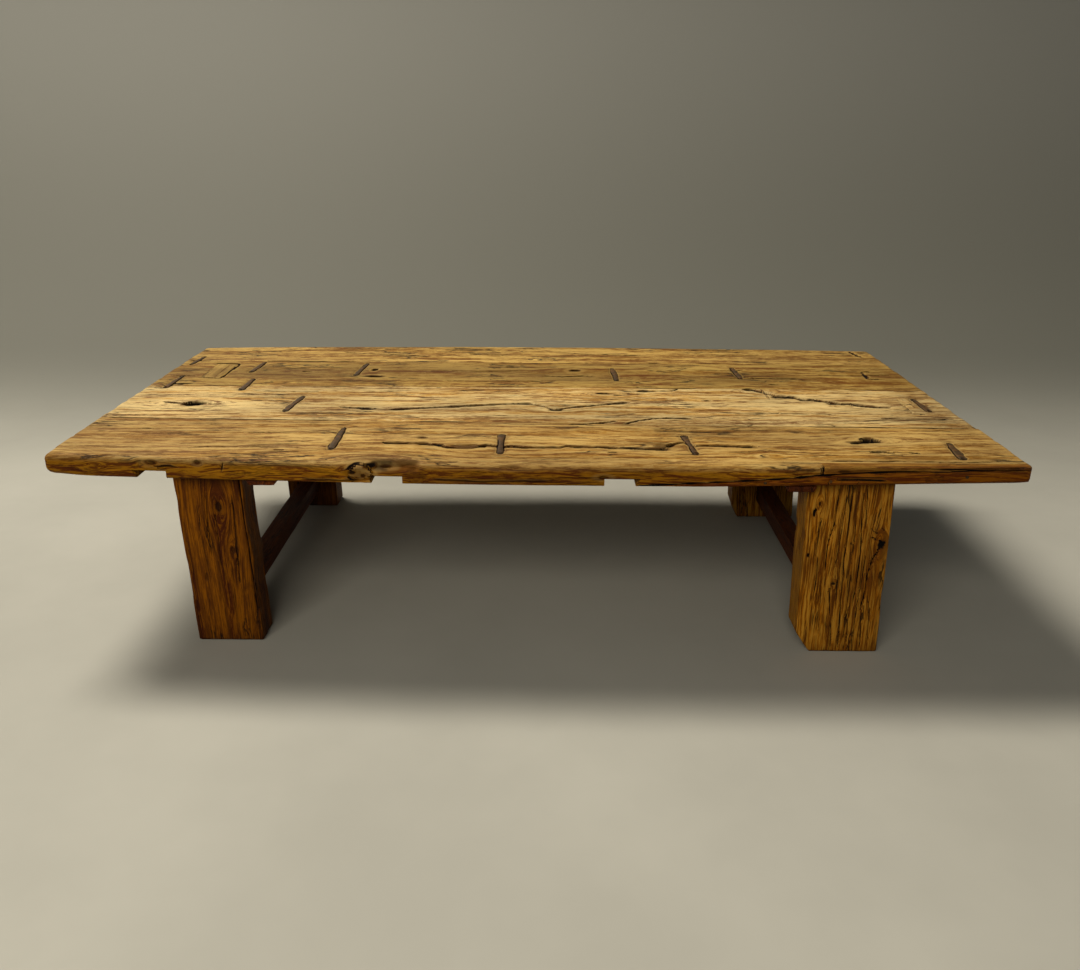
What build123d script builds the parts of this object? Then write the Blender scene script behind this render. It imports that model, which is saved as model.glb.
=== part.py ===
"""Low kang table: a top of four old door planks on four slab legs, with iron cramps, battens and stretchers.

X runs along the table to the right, Y from the front to the rear, and Z up. The origin is on the floor,
under the middle of the top's outline. All sizes are in millimetres.
"""
from build123d import *
from math import sqrt
import os

os.makedirs("parts", exist_ok=True)

# ---------------------------------------------------------------- the top as a whole
table_length = 1800.0
table_depth = 977.0
table_height = 398.0
top_thickness = 42.0
front_left_inset = 45.0          # the left front corner stands this far behind the deepest point of the edge
front_right_inset = 4.5
rear_corner_inset = 31.5
front_turn = 1100.0              # from the left end to where the front edge is deepest
corner_radius = 12.0             # in plan
upper_arris_radius = 8.0
lower_arris_chamfer = 3.0
bevel_start = 1100.0             # the wane under the front edge starts here, from the left end
bevel_rise = 15.0                # and has grown to this height and depth at the right end
bevel_run = 32.0

# ---------------------------------------------------------------- planks: edges of the three joints
# Each is the distance from the front line of the table, at the left end and at the right end.
front_joint = (285.5, 239.5)
centre_joint = (546.5, 538.5)
rear_joint = (792.5, 780.5)

# ---------------------------------------------------------------- old dovetail slots across the underside
slot_mouth = 56.0
slot_undercut = 8.0
slot_depth = 15.0
# Upright wall of each slot, from the left end (or, if negative, from the right end), and the side it opens to.
old_slots = ((234.0, -1), (668.0, -1), (-768.0, 1), (-343.0, 1))
slot_plug_length = 48.0

# ---------------------------------------------------------------- joinery
joint_fit = 0.2                  # clearance on each side of a tenon, tongue or dovetail
tenon_end_gap = 0.8              # room at the bottom of a blind mortise
key_length = 60.0                # loose tongues between planks, along the joint
key_width = 50.0
key_thickness = 10.0
key_cover = 14.0                 # wood above a tongue
key_chamfer = 1.5
key_places = (120.0, 640.0, -640.0, -120.0)

# ---------------------------------------------------------------- iron cramps
crown_thickness = 5.0
crown_recess = 0.5               # the bar lies this far below the surface
crown_corner_radius = 2.5
prong_length = 20.0
prong_thickness = 6.0
prong_inset = 3.0                # prong narrower than the bar by this much
prong_taper = 6.0                # degrees
# Line it is measured from, distance from the left (or, if negative, the right) end, where it begins and
# ends behind that line, how far its rear end leans to the right, and the width of the bar.
cramps = (
    ("rear", 34.5, -48.0, 43.0, 9.0, 11.0),
    ("centre", 51.5, -23.0, 92.0, 3.0, 11.0),
    ("rear", 207.5, -120.0, -12.0, 7.0, 12.0),
    ("centre", 230.0, -42.0, 66.0, 0.0, 13.0),
    ("rear", 469.5, -145.0, -18.0, 9.0, 12.0),
    ("front", 379.5, 58.0, 182.0, 11.0, 14.0),
    ("front", 524.0, -186.0, -48.0, 0.0, 13.0),
    ("front", 841.0, -199.0, -79.0, -2.0, 16.0),
    ("front", -599.5, -186.0, -71.0, -9.0, 15.0),
    ("rear", -707.0, -177.0, -52.0, -4.0, 15.0),
    ("rear", -407.0, -152.0, -38.0, -4.0, 13.0),
    ("front", -56.0, 119.0, 222.0, 0.0, 13.0),
    ("front", -105.5, -193.0, -96.0, 11.0, 15.0),
)

# ---------------------------------------------------------------- pieces let into the top, and knot holes
patch_depth = 10.0
# Corners as (distance from the end, distance behind the centre joint).
patch_left_corners = ((100.0, 70.0), (149.0, 63.0), (153.0, 208.0), (100.0, 214.0))
patch_right_corners = ((-98.0, -145.0), (-66.0, -151.0), (-66.0, -76.0), (-93.0, -76.0))
hole_depth = 22.0
# Place from the end, place behind the front line, length and width of each knot hole.
knot_holes = ((163.5, 390.5, 43.0, 36.0), (-246.0, 158.5, 28.0, 30.0))

# ---------------------------------------------------------------- strips let into the right of the front edge
lower_strip_depth = 36.0
upper_strip_depth = 24.0
# The seam over the lower strip, as (distance from the right end, height above the underside).
seam = ((708.0, 0.0), (455.0, 15.0), (377.0, 22.5), (338.0, 26.0), (260.0, 29.5), (0.0, 34.0))
upper_strip_length = 378.0
nail_length = 40.0
nail_diameter = 3.0
nail_head_diameter = 6.0
nail_head_thickness = 1.5
nail_sink = 0.3                  # head below the face
nail_places = ((-480.0, 9.5), (-363.0, 13.0), (-120.0, 22.0))

# ---------------------------------------------------------------- legs
leg_thickness = 70.0             # front to rear
leg_lean = 9.0                   # the foot stands this far to the right of the head
leg_arris_radius = 3.0
left_leg_width = 132.0
left_leg_overhang = 228.0        # from the left end of the top to the leg, at the head
left_leg_setback = 63.0          # from the front line of the table to the front leg
left_leg_rear_setback = 125.5
right_leg_width = 163.0
right_leg_overhang = 231.0
right_leg_setback = 35.0
right_leg_rear_setback = 185.5
front_foot_chamfer = (26.0, 43.0)    # width and height cut off the inner corner of the right front foot
rear_foot_chamfer = (13.0, 40.0)
head_tenon_height = 24.0
head_tenon_thickness = 40.0
head_tenon_shoulder = 30.0       # at each side

# ---------------------------------------------------------------- stretchers
stretcher_height = 48.0          # floor to its lower face
stretcher_depth = 42.0
stretcher_thickness = 40.0
stretcher_chamfer = 2.0
stretcher_tenon_length = 35.0
stretcher_tenon_shoulder = 7.0   # all round

# ---------------------------------------------------------------- battens
batten_width = 60.0
batten_foot_width = 46.0
batten_drop = 12.0
batten_ridge_neck = 36.0
batten_ridge_width = 44.0
batten_ridge_height = 11.5
batten_inset = 8.0               # from the edge of the top to the batten's end
batten_ridge_stop = 60.0         # the ridge stops this far behind the batten's front end
left_batten_gap = 17.0           # from the leg's inner side; negative where the leg is cut back over it
right_batten_gap = -12.0
batten_relief = 13.0             # room between a batten and the corner cut off a leg beside it
batten_relief_height = 15.0

# ---------------------------------------------------------------- values that follow
left_end = -table_length / 2
right_end = table_length / 2
front_line = -table_depth / 2
rear_line = table_depth / 2
underside = table_height - top_thickness
overrun = 5.0                    # how far a cutter passes the wood

deepest_x = left_end + front_turn
front_left_radius = (front_turn**2 + front_left_inset**2) / (2 * front_left_inset)
front_right_radius = ((table_length - front_turn) ** 2 + front_right_inset**2) / (2 * front_right_inset)
rear_radius = ((table_length / 2) ** 2 + rear_corner_inset**2) / (2 * rear_corner_inset)


def from_end(distance):
    """X of a place measured from the left end, or from the right end if the distance is negative."""
    return left_end + distance if distance >= 0 else right_end + distance


def front_y(x):
    """Y of the front edge at x."""
    radius = front_left_radius if x < deepest_x else front_right_radius
    return front_line + radius - sqrt(radius**2 - (x - deepest_x) ** 2)


def rear_y(x):
    """Y of the rear edge at x."""
    return rear_line - rear_radius + sqrt(rear_radius**2 - x**2)


def joint_y(joint, x):
    """Y of a joint between planks at x."""
    share = (x - left_end) / table_length
    return front_line + joint[0] + (joint[1] - joint[0]) * share


def joint_plane(joint):
    """Upright plane of a joint, with its normal to the rear."""
    slope = joint[1] - joint[0]
    return Plane(
        origin=(left_end, front_line + joint[0], 0),
        x_dir=(table_length, slope, 0),
        z_dir=(-slope, table_length, 0),
    )


def prism(points, y_start, y_end):
    """Upright outline of (x, z) points, run from one Y to another."""
    with BuildPart() as solid:
        with BuildSketch(Plane.XZ.offset(-y_start)):
            with BuildLine():
                Polyline(*points, close=True)
            make_face()
        extrude(amount=y_start - y_end)
    return solid.part


joints = {"front": front_joint, "centre": centre_joint, "rear": rear_joint}

# ---------------------------------------------------------------- the blank of the top, before it is divided
with BuildPart() as slab:
    with BuildSketch(Plane.XY.offset(underside)) as outline:
        with BuildLine():
            front_left = (left_end, front_y(left_end))
            front_deepest = (deepest_x, front_line)
            front_right = (right_end, front_y(right_end))
            rear_right = (right_end, rear_y(right_end))
            rear_left = (left_end, rear_y(left_end))
            middle_left = (left_end + deepest_x) / 2
            middle_right = (right_end + deepest_x) / 2
            ThreePointArc(front_left, (middle_left, front_y(middle_left)), front_deepest)
            ThreePointArc(front_deepest, (middle_right, front_y(middle_right)), front_right)
            Line(front_right, rear_right)
            ThreePointArc(rear_right, (0, rear_line), rear_left)
            Line(rear_left, front_left)
        make_face()
        end_corners = outline.vertices().group_by(Axis.X)
        fillet(end_corners[0] + end_corners[-1], corner_radius)
    extrude(amount=top_thickness)
    fillet(slab.faces().sort_by(Axis.Z)[-1].edges(), upper_arris_radius)
    chamfer(slab.faces().sort_by(Axis.Z)[0].edges(), lower_arris_chamfer)
    bevel_x = left_end + bevel_start
    bevel_tip = Vector(bevel_x, front_y(bevel_x), underside)
    bevel_front = Vector(right_end, front_y(right_end), underside + bevel_rise)
    bevel_back = Vector(right_end, front_y(right_end) + bevel_run, underside)
    bevel_normal = (bevel_front - bevel_tip).cross(bevel_back - bevel_tip).normalized()
    split(bisect_by=Plane(origin=bevel_tip, z_dir=bevel_normal), keep=Keep.TOP)

# ---------------------------------------------------------------- what is cut out of the top
undercut_slope = slot_undercut / slot_depth


def slot_outline(place, side, below):
    """Section of an old dovetail slot, continued below the underside by a given height."""
    wall = from_end(place)
    mouth = slot_mouth - below * undercut_slope
    return (
        (wall, underside - below),
        (wall, underside + slot_depth),
        (wall + side * (slot_mouth + slot_undercut), underside + slot_depth),
        (wall + side * mouth, underside - below),
    )


slot_cutters = [
    prism(slot_outline(place, side, overrun), front_line - overrun, rear_line + overrun)
    for place, side in old_slots
]

hole_cutters = []
for place, behind, length, width in knot_holes:
    with BuildPart() as knot_hole:
        with BuildSketch(Plane.XY.offset(table_height - hole_depth)):
            with Locations((from_end(place), front_line + behind)):
                Ellipse(length / 2, width / 2)
        extrude(amount=hole_depth + overrun)
    hole_cutters.append(knot_hole.part)

# ---------------------------------------------------------------- battens and their housings
left_leg_outer = left_end + left_leg_overhang
left_leg_inner = left_leg_outer + left_leg_width
right_leg_outer = right_end - right_leg_overhang
right_leg_inner = right_leg_outer - right_leg_width
batten_x = {
    "left": left_leg_inner + left_batten_gap + batten_width / 2,
    "right": right_leg_inner - right_batten_gap - batten_width / 2,
}


def ridge_outline(x, spread, rise):
    """Section of a batten's dovetailed ridge, widened and raised for its housing."""
    ridge_slope = (batten_ridge_width - batten_ridge_neck) / 2 / batten_ridge_height
    neck_half = batten_ridge_neck / 2 + spread
    top_half = batten_ridge_width / 2 + spread + rise * ridge_slope
    ridge_top = underside + batten_ridge_height + rise
    return (
        (x - neck_half, underside),
        (x - top_half, ridge_top),
        (x + top_half, ridge_top),
        (x + neck_half, underside),
    )


battens = {}
housing_cutters = []
for side, x in batten_x.items():
    batten_front = front_y(x) + batten_inset
    batten_rear = rear_y(x) - batten_inset
    ridge_front = batten_front + batten_ridge_stop
    board = (
        (x - batten_width / 2, underside),
        (x + batten_width / 2, underside),
        (x + batten_foot_width / 2, underside - batten_drop),
        (x - batten_foot_width / 2, underside - batten_drop),
    )
    with BuildPart() as batten:
        add(prism(board, batten_front, batten_rear))
        add(prism(ridge_outline(x, 0, 0), ridge_front, batten_rear))
    battens[side] = batten
    housing = ridge_outline(x, joint_fit, tenon_end_gap)
    housing_cutters.append(prism(housing, ridge_front - tenon_end_gap, rear_line + overrun))


# ---------------------------------------------------------------- legs, stretchers and their mortises
def box_between(low, high):
    """A plain block between two corners."""
    size = [high[i] - low[i] for i in range(3)]
    middle = [(high[i] + low[i]) / 2 for i in range(3)]
    with BuildPart() as block:
        with Locations(tuple(middle)):
            Box(*size)
    return block.part


def grown(low, high, margins):
    """The corners of a block moved outwards by a margin along X, Y and Z."""
    return [low[i] - margins[i] for i in range(3)], [high[i] + margins[i] for i in range(3)]


leg_pairs = {
    "left": {
        "head": (left_leg_outer, left_leg_inner),
        "fronts": (front_line + left_leg_setback, rear_line - left_leg_rear_setback - leg_thickness),
        "inner": 1,
        "gap": left_batten_gap,
        "foot": ((0, 0), (0, 0)),
    },
    "right": {
        "head": (right_leg_inner, right_leg_outer),
        "fronts": (front_line + right_leg_setback, rear_line - right_leg_rear_setback - leg_thickness),
        "inner": -1,
        "gap": right_batten_gap,
        "foot": (front_foot_chamfer, rear_foot_chamfer),
    },
}


def leg_outline(head, inner, gap, foot):
    """Front outline of a leg: leaning sides, with the inner corners cut off at the foot and at a batten."""
    low_x, high_x = head
    inner_x, outer_x = (high_x, low_x) if inner > 0 else (low_x, high_x)
    foot_width, foot_rise = foot
    relief = batten_relief - gap
    points = [(outer_x, underside), (outer_x + leg_lean, 0)]
    if foot_width > 0:
        rise_share = leg_lean * foot_rise / underside
        points.append((inner_x + leg_lean - inner * foot_width, 0))
        points.append((inner_x + leg_lean - rise_share, foot_rise))
    else:
        points.append((inner_x + leg_lean, 0))
    if relief > 0:
        drop_share = leg_lean * batten_relief_height / underside
        points.append((inner_x + drop_share, underside - batten_relief_height))
        points.append((inner_x - inner * relief, underside))
    else:
        points.append((inner_x, underside))
    return points


legs = {}
stretchers = {}
mortise_cutters = []
for side, pair in leg_pairs.items():
    low_x, high_x = pair["head"]
    middle_x = (low_x + high_x) / 2 + leg_lean
    front_back = pair["fronts"][0] + leg_thickness
    rear_front = pair["fronts"][1]
    rail_low = (middle_x - stretcher_thickness / 2, front_back, stretcher_height)
    rail_high = (middle_x + stretcher_thickness / 2, rear_front, stretcher_height + stretcher_depth)
    shoulder = stretcher_tenon_shoulder
    rail_tenon = grown(rail_low, rail_high, (-shoulder, stretcher_tenon_length, -shoulder))
    with BuildPart() as stretcher:
        add(box_between(rail_low, rail_high))
        chamfer(stretcher.edges().filter_by(Axis.Y), stretcher_chamfer)
        add(box_between(*rail_tenon))
    stretchers[side] = stretcher
    rail_mortise = box_between(*grown(*rail_tenon, (joint_fit, tenon_end_gap, joint_fit)))

    for row, y, foot in zip(("front", "rear"), pair["fronts"], pair["foot"]):
        tenon_middle = y + leg_thickness / 2
        tenon_low = (low_x + head_tenon_shoulder, tenon_middle - head_tenon_thickness / 2, underside)
        tenon_high = (
            high_x - head_tenon_shoulder,
            tenon_middle + head_tenon_thickness / 2,
            underside + head_tenon_height,
        )
        with BuildPart() as leg:
            add(prism(leg_outline(pair["head"], pair["inner"], pair["gap"], foot), y, y + leg_thickness))
            fillet(leg.edges().filter_by(lambda e: e.center().Z < underside - 0.01), leg_arris_radius)
            add(box_between(tenon_low, tenon_high))
            add(rail_mortise, mode=Mode.SUBTRACT)
        legs[row, side] = leg
        mortise_low, mortise_high = grown(tenon_low, tenon_high, (joint_fit, joint_fit, 0))
        mortise_low[2] -= overrun
        mortise_high[2] += tenon_end_gap
        mortise_cutters.append(box_between(mortise_low, mortise_high))

# ---------------------------------------------------------------- loose tongues in the joints
keys = {}
key_cutters = []
key_z = table_height - key_cover - key_thickness / 2
for joint_name, joint in joints.items():
    places = [(from_end(place), joint_y(joint, from_end(place)), key_z) for place in key_places]
    with BuildPart() as tongues:
        with Locations(*places):
            Box(key_length, key_width, key_thickness)
        chamfer(tongues.edges().filter_by(Axis.X), key_chamfer)
    keys[joint_name] = tongues
    with BuildPart() as tongue_mortises:
        with Locations(*places):
            Box(key_length + 2 * joint_fit, key_width + 2 * joint_fit, key_thickness + 2 * joint_fit)
    key_cutters.append(tongue_mortises.part)


# ---------------------------------------------------------------- iron cramps
def cramp(line, place, start, end, lean, width, crown_top):
    """A bar with two tapered prongs; the bar's upper face is at crown_top."""
    x = from_end(place)
    y = joint_y(joints[line], x)
    first = Vector(x - lean / 2, y + start)
    last = Vector(x + lean / 2, y + end)
    crown_bottom = table_height - crown_recess - crown_thickness
    middle = (first + last) / 2
    length = (last - first).length
    bar_plane = Plane(origin=(middle.X, middle.Y, crown_bottom), x_dir=last - first, z_dir=(0, 0, 1))
    with BuildPart() as iron:
        with BuildSketch(bar_plane):
            RectangleRounded(length, width, crown_corner_radius)
        extrude(amount=crown_top - crown_bottom)
        with BuildSketch(bar_plane):
            with GridLocations(length - prong_thickness, 0, 2, 1):
                Rectangle(prong_thickness, width - prong_inset)
        extrude(amount=-prong_length, taper=prong_taper)
    return iron


cramp_irons = [cramp(*sizes, crown_top=table_height - crown_recess) for sizes in cramps]
cramp_cutters = [cramp(*sizes, crown_top=table_height + overrun).part for sizes in cramps]


# ---------------------------------------------------------------- patches let into the upper face
def patch(corners, above):
    """An inlaid piece with the given corners, continued above the surface by a given height."""
    points = [(from_end(place), joint_y(centre_joint, from_end(place)) + behind) for place, behind in corners]
    with BuildPart() as inlay:
        with BuildSketch(Plane.XY.offset(table_height - patch_depth)):
            with BuildLine():
                Polyline(*points, close=True)
            make_face()
        extrude(amount=patch_depth + above)
    return inlay


patch_left = patch(patch_left_corners, 0)
patch_right = patch(patch_right_corners, 0)
patch_cutters = [patch(corners, overrun).part for corners in (patch_left_corners, patch_right_corners)]

# ---------------------------------------------------------------- strips, plug and nails in the front edge
seam_points = [(right_end - distance, underside + height) for distance, height in seam]
below_strip = underside - overrun
past_end = right_end + overrun
lower_outline = [(seam_points[0][0], below_strip), *seam_points, (past_end, seam_points[-1][1])]
lower_outline.append((past_end, below_strip))
lower_prism = prism(lower_outline, front_line - overrun, front_line + lower_strip_depth)

upper_start_x = right_end - upper_strip_length
above_strip = table_height + overrun
upper_outline = [(upper_start_x, above_strip), (upper_start_x, underside), (past_end, underside)]
upper_outline.append((past_end, above_strip))
upper_prism = prism(upper_outline, front_line - overrun, front_line + upper_strip_depth)

with BuildPart() as strip_nails:
    for place, height in nail_places:
        nail_x = from_end(place)
        head_plane = Plane.XZ.offset(-front_y(nail_x) - nail_sink)
        with BuildSketch(head_plane):
            with Locations((nail_x, underside + height)):
                Circle(nail_head_diameter / 2)
        extrude(amount=-nail_head_thickness)
        with BuildSketch(head_plane):
            with Locations((nail_x, underside + height)):
                Circle(nail_diameter / 2)
        extrude(amount=-nail_length)

with BuildPart() as nail_recesses:
    for place, height in nail_places:
        nail_x = from_end(place)
        with BuildSketch(Plane.XZ.offset(-front_y(nail_x) - nail_sink)):
            with Locations((nail_x, underside + height)):
                Circle(nail_head_diameter / 2)
        extrude(amount=overrun)
nail_cutters = [strip_nails.part, nail_recesses.part]

plug_place, plug_side = old_slots[-1]
plug_outline = slot_outline(plug_place, plug_side, 0)
with BuildPart() as slot_plug:
    add(slab.part)
    add(prism(plug_outline, front_line - overrun, front_line + slot_plug_length), mode=Mode.INTERSECT)

with BuildPart() as edge_strip_lower:
    add(slab.part)
    add(lower_prism, mode=Mode.INTERSECT)
    add(slot_cutters[-1], mode=Mode.SUBTRACT)
    add(nail_cutters, mode=Mode.SUBTRACT)

with BuildPart() as edge_strip_upper:
    add(slab.part)
    add(upper_prism, mode=Mode.INTERSECT)
    add(lower_prism, mode=Mode.SUBTRACT)

# ---------------------------------------------------------------- planks
shared_cutters = slot_cutters + hole_cutters + housing_cutters + mortise_cutters
shared_cutters += key_cutters + cramp_cutters + patch_cutters


def plank(near_joint=None, far_joint=None, extra_cutters=()):
    """The part of the slab between two joints, with everything that is let into it cut away."""
    with BuildPart() as board:
        add(slab.part)
        if near_joint:
            split(bisect_by=joint_plane(near_joint), keep=Keep.TOP)
        if far_joint:
            split(bisect_by=joint_plane(far_joint), keep=Keep.BOTTOM)
        add(shared_cutters, mode=Mode.SUBTRACT)
        if extra_cutters:
            add(extra_cutters, mode=Mode.SUBTRACT)
    return board


pieces = {
    "plank_front": plank(far_joint=front_joint, extra_cutters=[lower_prism, upper_prism, *nail_cutters]),
    "plank_centre_front": plank(near_joint=front_joint, far_joint=centre_joint),
    "plank_centre_rear": plank(near_joint=centre_joint, far_joint=rear_joint),
    "plank_rear": plank(near_joint=rear_joint),
    "edge_strip_lower": edge_strip_lower,
    "edge_strip_upper": edge_strip_upper,
    "slot_plug": slot_plug,
    "strip_nails": strip_nails,
    "patch_left": patch_left,
    "patch_right": patch_right,
}
for number, iron in enumerate(cramp_irons, start=1):
    pieces[f"cramp_{number:02d}"] = iron
for joint_name, tongues in keys.items():
    pieces[f"keys_{joint_name}_joint"] = tongues
for side, batten in battens.items():
    pieces[f"batten_{side}"] = batten
for (row, side), leg in legs.items():
    pieces[f"leg_{row}_{side}"] = leg
for side, stretcher in stretchers.items():
    pieces[f"stretcher_{side}"] = stretcher

for name, piece in pieces.items():
    piece.part.label = name
    export_step(piece.part, f"parts/{name}.step")
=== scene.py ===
"""Kang table made of old door planks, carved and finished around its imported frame.

All lengths are in metres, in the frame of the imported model: X runs along the table to the right, Y from the
front to the rear, and Z up. The origin is on the floor, under the middle of the top.
"""

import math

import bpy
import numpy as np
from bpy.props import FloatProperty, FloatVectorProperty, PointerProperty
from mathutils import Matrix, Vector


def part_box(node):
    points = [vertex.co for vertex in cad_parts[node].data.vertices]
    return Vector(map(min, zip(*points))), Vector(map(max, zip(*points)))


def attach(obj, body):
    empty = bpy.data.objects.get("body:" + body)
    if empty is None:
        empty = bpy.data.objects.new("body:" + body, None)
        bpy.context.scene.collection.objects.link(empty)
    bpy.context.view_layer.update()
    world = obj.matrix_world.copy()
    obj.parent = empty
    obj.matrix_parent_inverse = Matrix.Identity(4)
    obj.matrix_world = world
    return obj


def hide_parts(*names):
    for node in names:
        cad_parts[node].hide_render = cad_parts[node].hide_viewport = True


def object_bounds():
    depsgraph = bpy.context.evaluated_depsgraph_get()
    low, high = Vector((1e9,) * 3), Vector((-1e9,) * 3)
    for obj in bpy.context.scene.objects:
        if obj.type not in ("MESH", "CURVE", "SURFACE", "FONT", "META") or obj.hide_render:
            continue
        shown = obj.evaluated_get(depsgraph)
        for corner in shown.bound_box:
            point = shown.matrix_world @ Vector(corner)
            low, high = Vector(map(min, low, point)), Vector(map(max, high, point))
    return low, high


bl_info = {
    "name": "Kang Table",
    "version": (1, 0, 0),
    "blender": (4, 5, 0),
    "location": "View3D > Sidebar > Kang Table",
    "description": "Builds a worn plank-top kang table with iron cramps, and a plain studio for it",
    "category": "Add Mesh",
}

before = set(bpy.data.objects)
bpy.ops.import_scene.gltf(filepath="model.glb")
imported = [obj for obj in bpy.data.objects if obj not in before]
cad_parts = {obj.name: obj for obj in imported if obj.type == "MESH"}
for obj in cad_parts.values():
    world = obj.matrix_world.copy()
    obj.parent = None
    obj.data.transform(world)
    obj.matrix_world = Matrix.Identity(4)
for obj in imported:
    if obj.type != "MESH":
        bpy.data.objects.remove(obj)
CAD_LOW, CAD_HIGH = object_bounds()

MM = 0.001
NOISE_SEED = 11

# ---------------------------------------------------------------------------------------------------- sizes
TOP_Z = CAD_HIGH.z
UNDERSIDE_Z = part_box("plank_rear")[0].z
HALF_LENGTH = CAD_HIGH.x
FRONT_Y = CAD_LOW.y
REAR_Y = CAD_HIGH.y
FRONT_DEEPEST_X = 0.200          # the front edge is an arc on each side of here
FRONT_LEFT_INSET = 0.045         # the front corners stand this far behind the deepest point
FRONT_RIGHT_INSET = 0.0045
REAR_CORNER_INSET = 0.0315
CORNER_RADIUS = 0.015
LEG_LEAN = 0.009                 # a foot stands this far to the right of its head

# Y of each joint between planks, at the left end and at the right end.
JOINTS = {
    "front": (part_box("plank_front")[1].y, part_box("plank_centre_front")[0].y),
    "centre": (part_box("plank_centre_front")[1].y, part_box("plank_centre_rear")[0].y),
    "rear": (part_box("plank_centre_rear")[1].y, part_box("plank_rear")[0].y),
}
# Where a joint stands open: its name, from X, to X, and half the width of the gap, in millimetres.
OPEN_JOINTS = (
    ("rear", -900, -820, 2.0), ("rear", -700, -455, 2.6), ("rear", 40, 150, 1.6), ("rear", 640, 800, 1.5),
    ("centre", -880, -640, 2.0), ("centre", -600, -400, 2.2), ("centre", 228, 385, 2.4),
    ("centre", 700, 830, 1.6), ("front", -890, -360, 1.8), ("front", -250, -120, 1.3),
    ("front", 395, 455, 2.2), ("front", 540, 890, 1.5),
)
# The front edge is eaten away over an empty slot: X where that begins, is full, is full no more, and ends.
EATEN = (-292, -276, -212, -196)
BIG_KNOT_X, BIG_KNOT_Z = -309 * MM, 376 * MM      # the knot in the front edge beside it
FOOT_GAP = 0.2 * MM                               # a leg's carved foot stands this far above the floor
END_GAP = 0.8 * MM                                # a cramp's bar stops this far short of its solid's end

# ---------------------------------------------------------------------------------- splits, pits and knots
# Each split is a line of (X, Y) points in millimetres, half its width, its depth and how dark it is.
TOP_SPLITS = (
    (((-812, -84), (-790, -91), (-762, -98)), 4.0, 6, 1.0),
    (((-716, -99), (-690, -101), (-668, -96)), 3.0, 5, 0.9),
    (((-856, -80), (-836, -84), (-818, -83)), 1.8, 4, 0.6),
    (((-815, 272), (-800, 271), (-747, 267), (-742, 266)), 4.6, 6, 1.0),
    (((-746, 268), (-748, 190), (-751, 119)), 2.4, 5, 1.0),
    (((-800, 128), (-775, 125), (-749, 121)), 3.4, 4, 0.7),
    (((800, -76), (820, -76), (836, -76)), 2.8, 4, 0.9),
    (((802, -146), (820, -149), (836, -151)), 2.8, 4, 0.9),
    (((803, -148), (806, -110), (808, -76)), 1.2, 3, 0.5),
    (((795, 150), (815, 147), (840, 145)), 4.3, 5, 0.9),
    (((800, 148), (804, 180), (807, 222)), 3.6, 4, 0.8),
    (((806, 220), (820, 222), (836, 222)), 4.1, 4, 0.8),
    (((-309, -139), (-184, -113), (-123, -101), (-58, -88), (-6, -85), (22, -105), (47, -132), (85, -111),
      (135, -95), (177, -79), (210, -70)), 5.6, 9, 1.0),
    (((-420, -118), (-372, -128), (-335, -134)), 3.6, 5, 0.8),
    (((71, -233), (100, -235), (137, -223), (176, -209)), 4.7, 7, 1.0),
    (((183, -230), (216, -209), (248, -194), (288, -188), (335, -192)), 4.7, 7, 1.0),
    (((-288, -358), (-274, -364), (-217, -364), (-198, -366), (-154, -388), (-110, -387), (-85, -373),
      (-51, -381), (-28, -381), (-16, -386), (53, -385), (66, -376), (87, -381), (114, -380), (151, -386),
      (188, -389), (242, -392), (254, -372), (291, -348), (313, -369), (376, -369), (403, -373),
      (430, -371)), 5.3, 10, 1.0),
    (((494, 44), (519, 22), (547, -13), (587, -26), (625, -50), (674, -70), (712, -89), (744, -97),
      (775, -100)), 7.5, 12, 1.0),
    (((200, 22), (234, 24), (255, 24), (315, 28), (336, 55)), 4.2, 7, 1.0),
    (((16, 164), (67, 155), (128, 167)), 5.1, 7, 1.0),
    (((611, -352), (625, -347), (642, -330)), 5.6, 9, 1.0),
    (((630, -403), (652, -399), (676, -405)), 6.2, 9, 1.0),
    (((700, -402), (727, -408)), 3.6, 5, 0.8),
    (((843, 448), (846, 428), (849, 405), (853, 380)), 5.1, 6, 1.0),
    (((853, 380), (866, 372), (877, 374)), 5.1, 6, 1.0),
    (((-860, 74), (-827, 71), (-792, 74)), 4.5, 5, 0.9),
    (((-784, -281), (-765, -279), (-745, -281)), 3.6, 5, 0.9),
    (((-560, -306), (-500, -300), (-455, -304)), 2.4, 4, 0.6),
    (((-510, 407), (-420, 384), (-330, 371), (-278, 362)), 4.1, 6, 0.9),
    (((-180, 392), (-90, 383), (-20, 391)), 3.6, 5, 0.8),
    (((63, 414), (140, 400), (240, 389), (300, 385)), 3.6, 6, 0.85),
    (((420, 402), (520, 396), (600, 400)), 2.5, 5, 0.7),
    (((-880, 148), (-860, 143), (-815, 147)), 3.6, 5, 0.8),
    (((-240, 214), (-120, 206), (-30, 211)), 2.5, 5, 0.7),
    (((330, 152), (430, 143), (560, 150), (640, 144)), 3.4, 6, 0.8),
    (((-210, 112), (-90, 104), (20, 110)), 2.5, 5, 0.65),
    (((380, 232), (470, 226), (520, 231)), 3.2, 5, 0.75),
    (((-640, 12), (-560, 4), (-480, 9)), 2.5, 4, 0.6),
    (((420, -152), (520, -146), (640, -153)), 2.4, 4, 0.55),
    (((-90, -175), (20, -183), (75, -178)), 2.3, 4, 0.5),
    (((540, -455), (640, -451), (760, -456), (850, -452)), 2.5, 4, 0.6),
    (((-640, -395), (-520, -389), (-430, -394)), 2.3, 3, 0.45),
    (((690, 190), (770, 184), (870, 189)), 2.5, 4, 0.6),
    (((720, -180), (800, -186), (880, -183)), 2.5, 4, 0.6),
)
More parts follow.
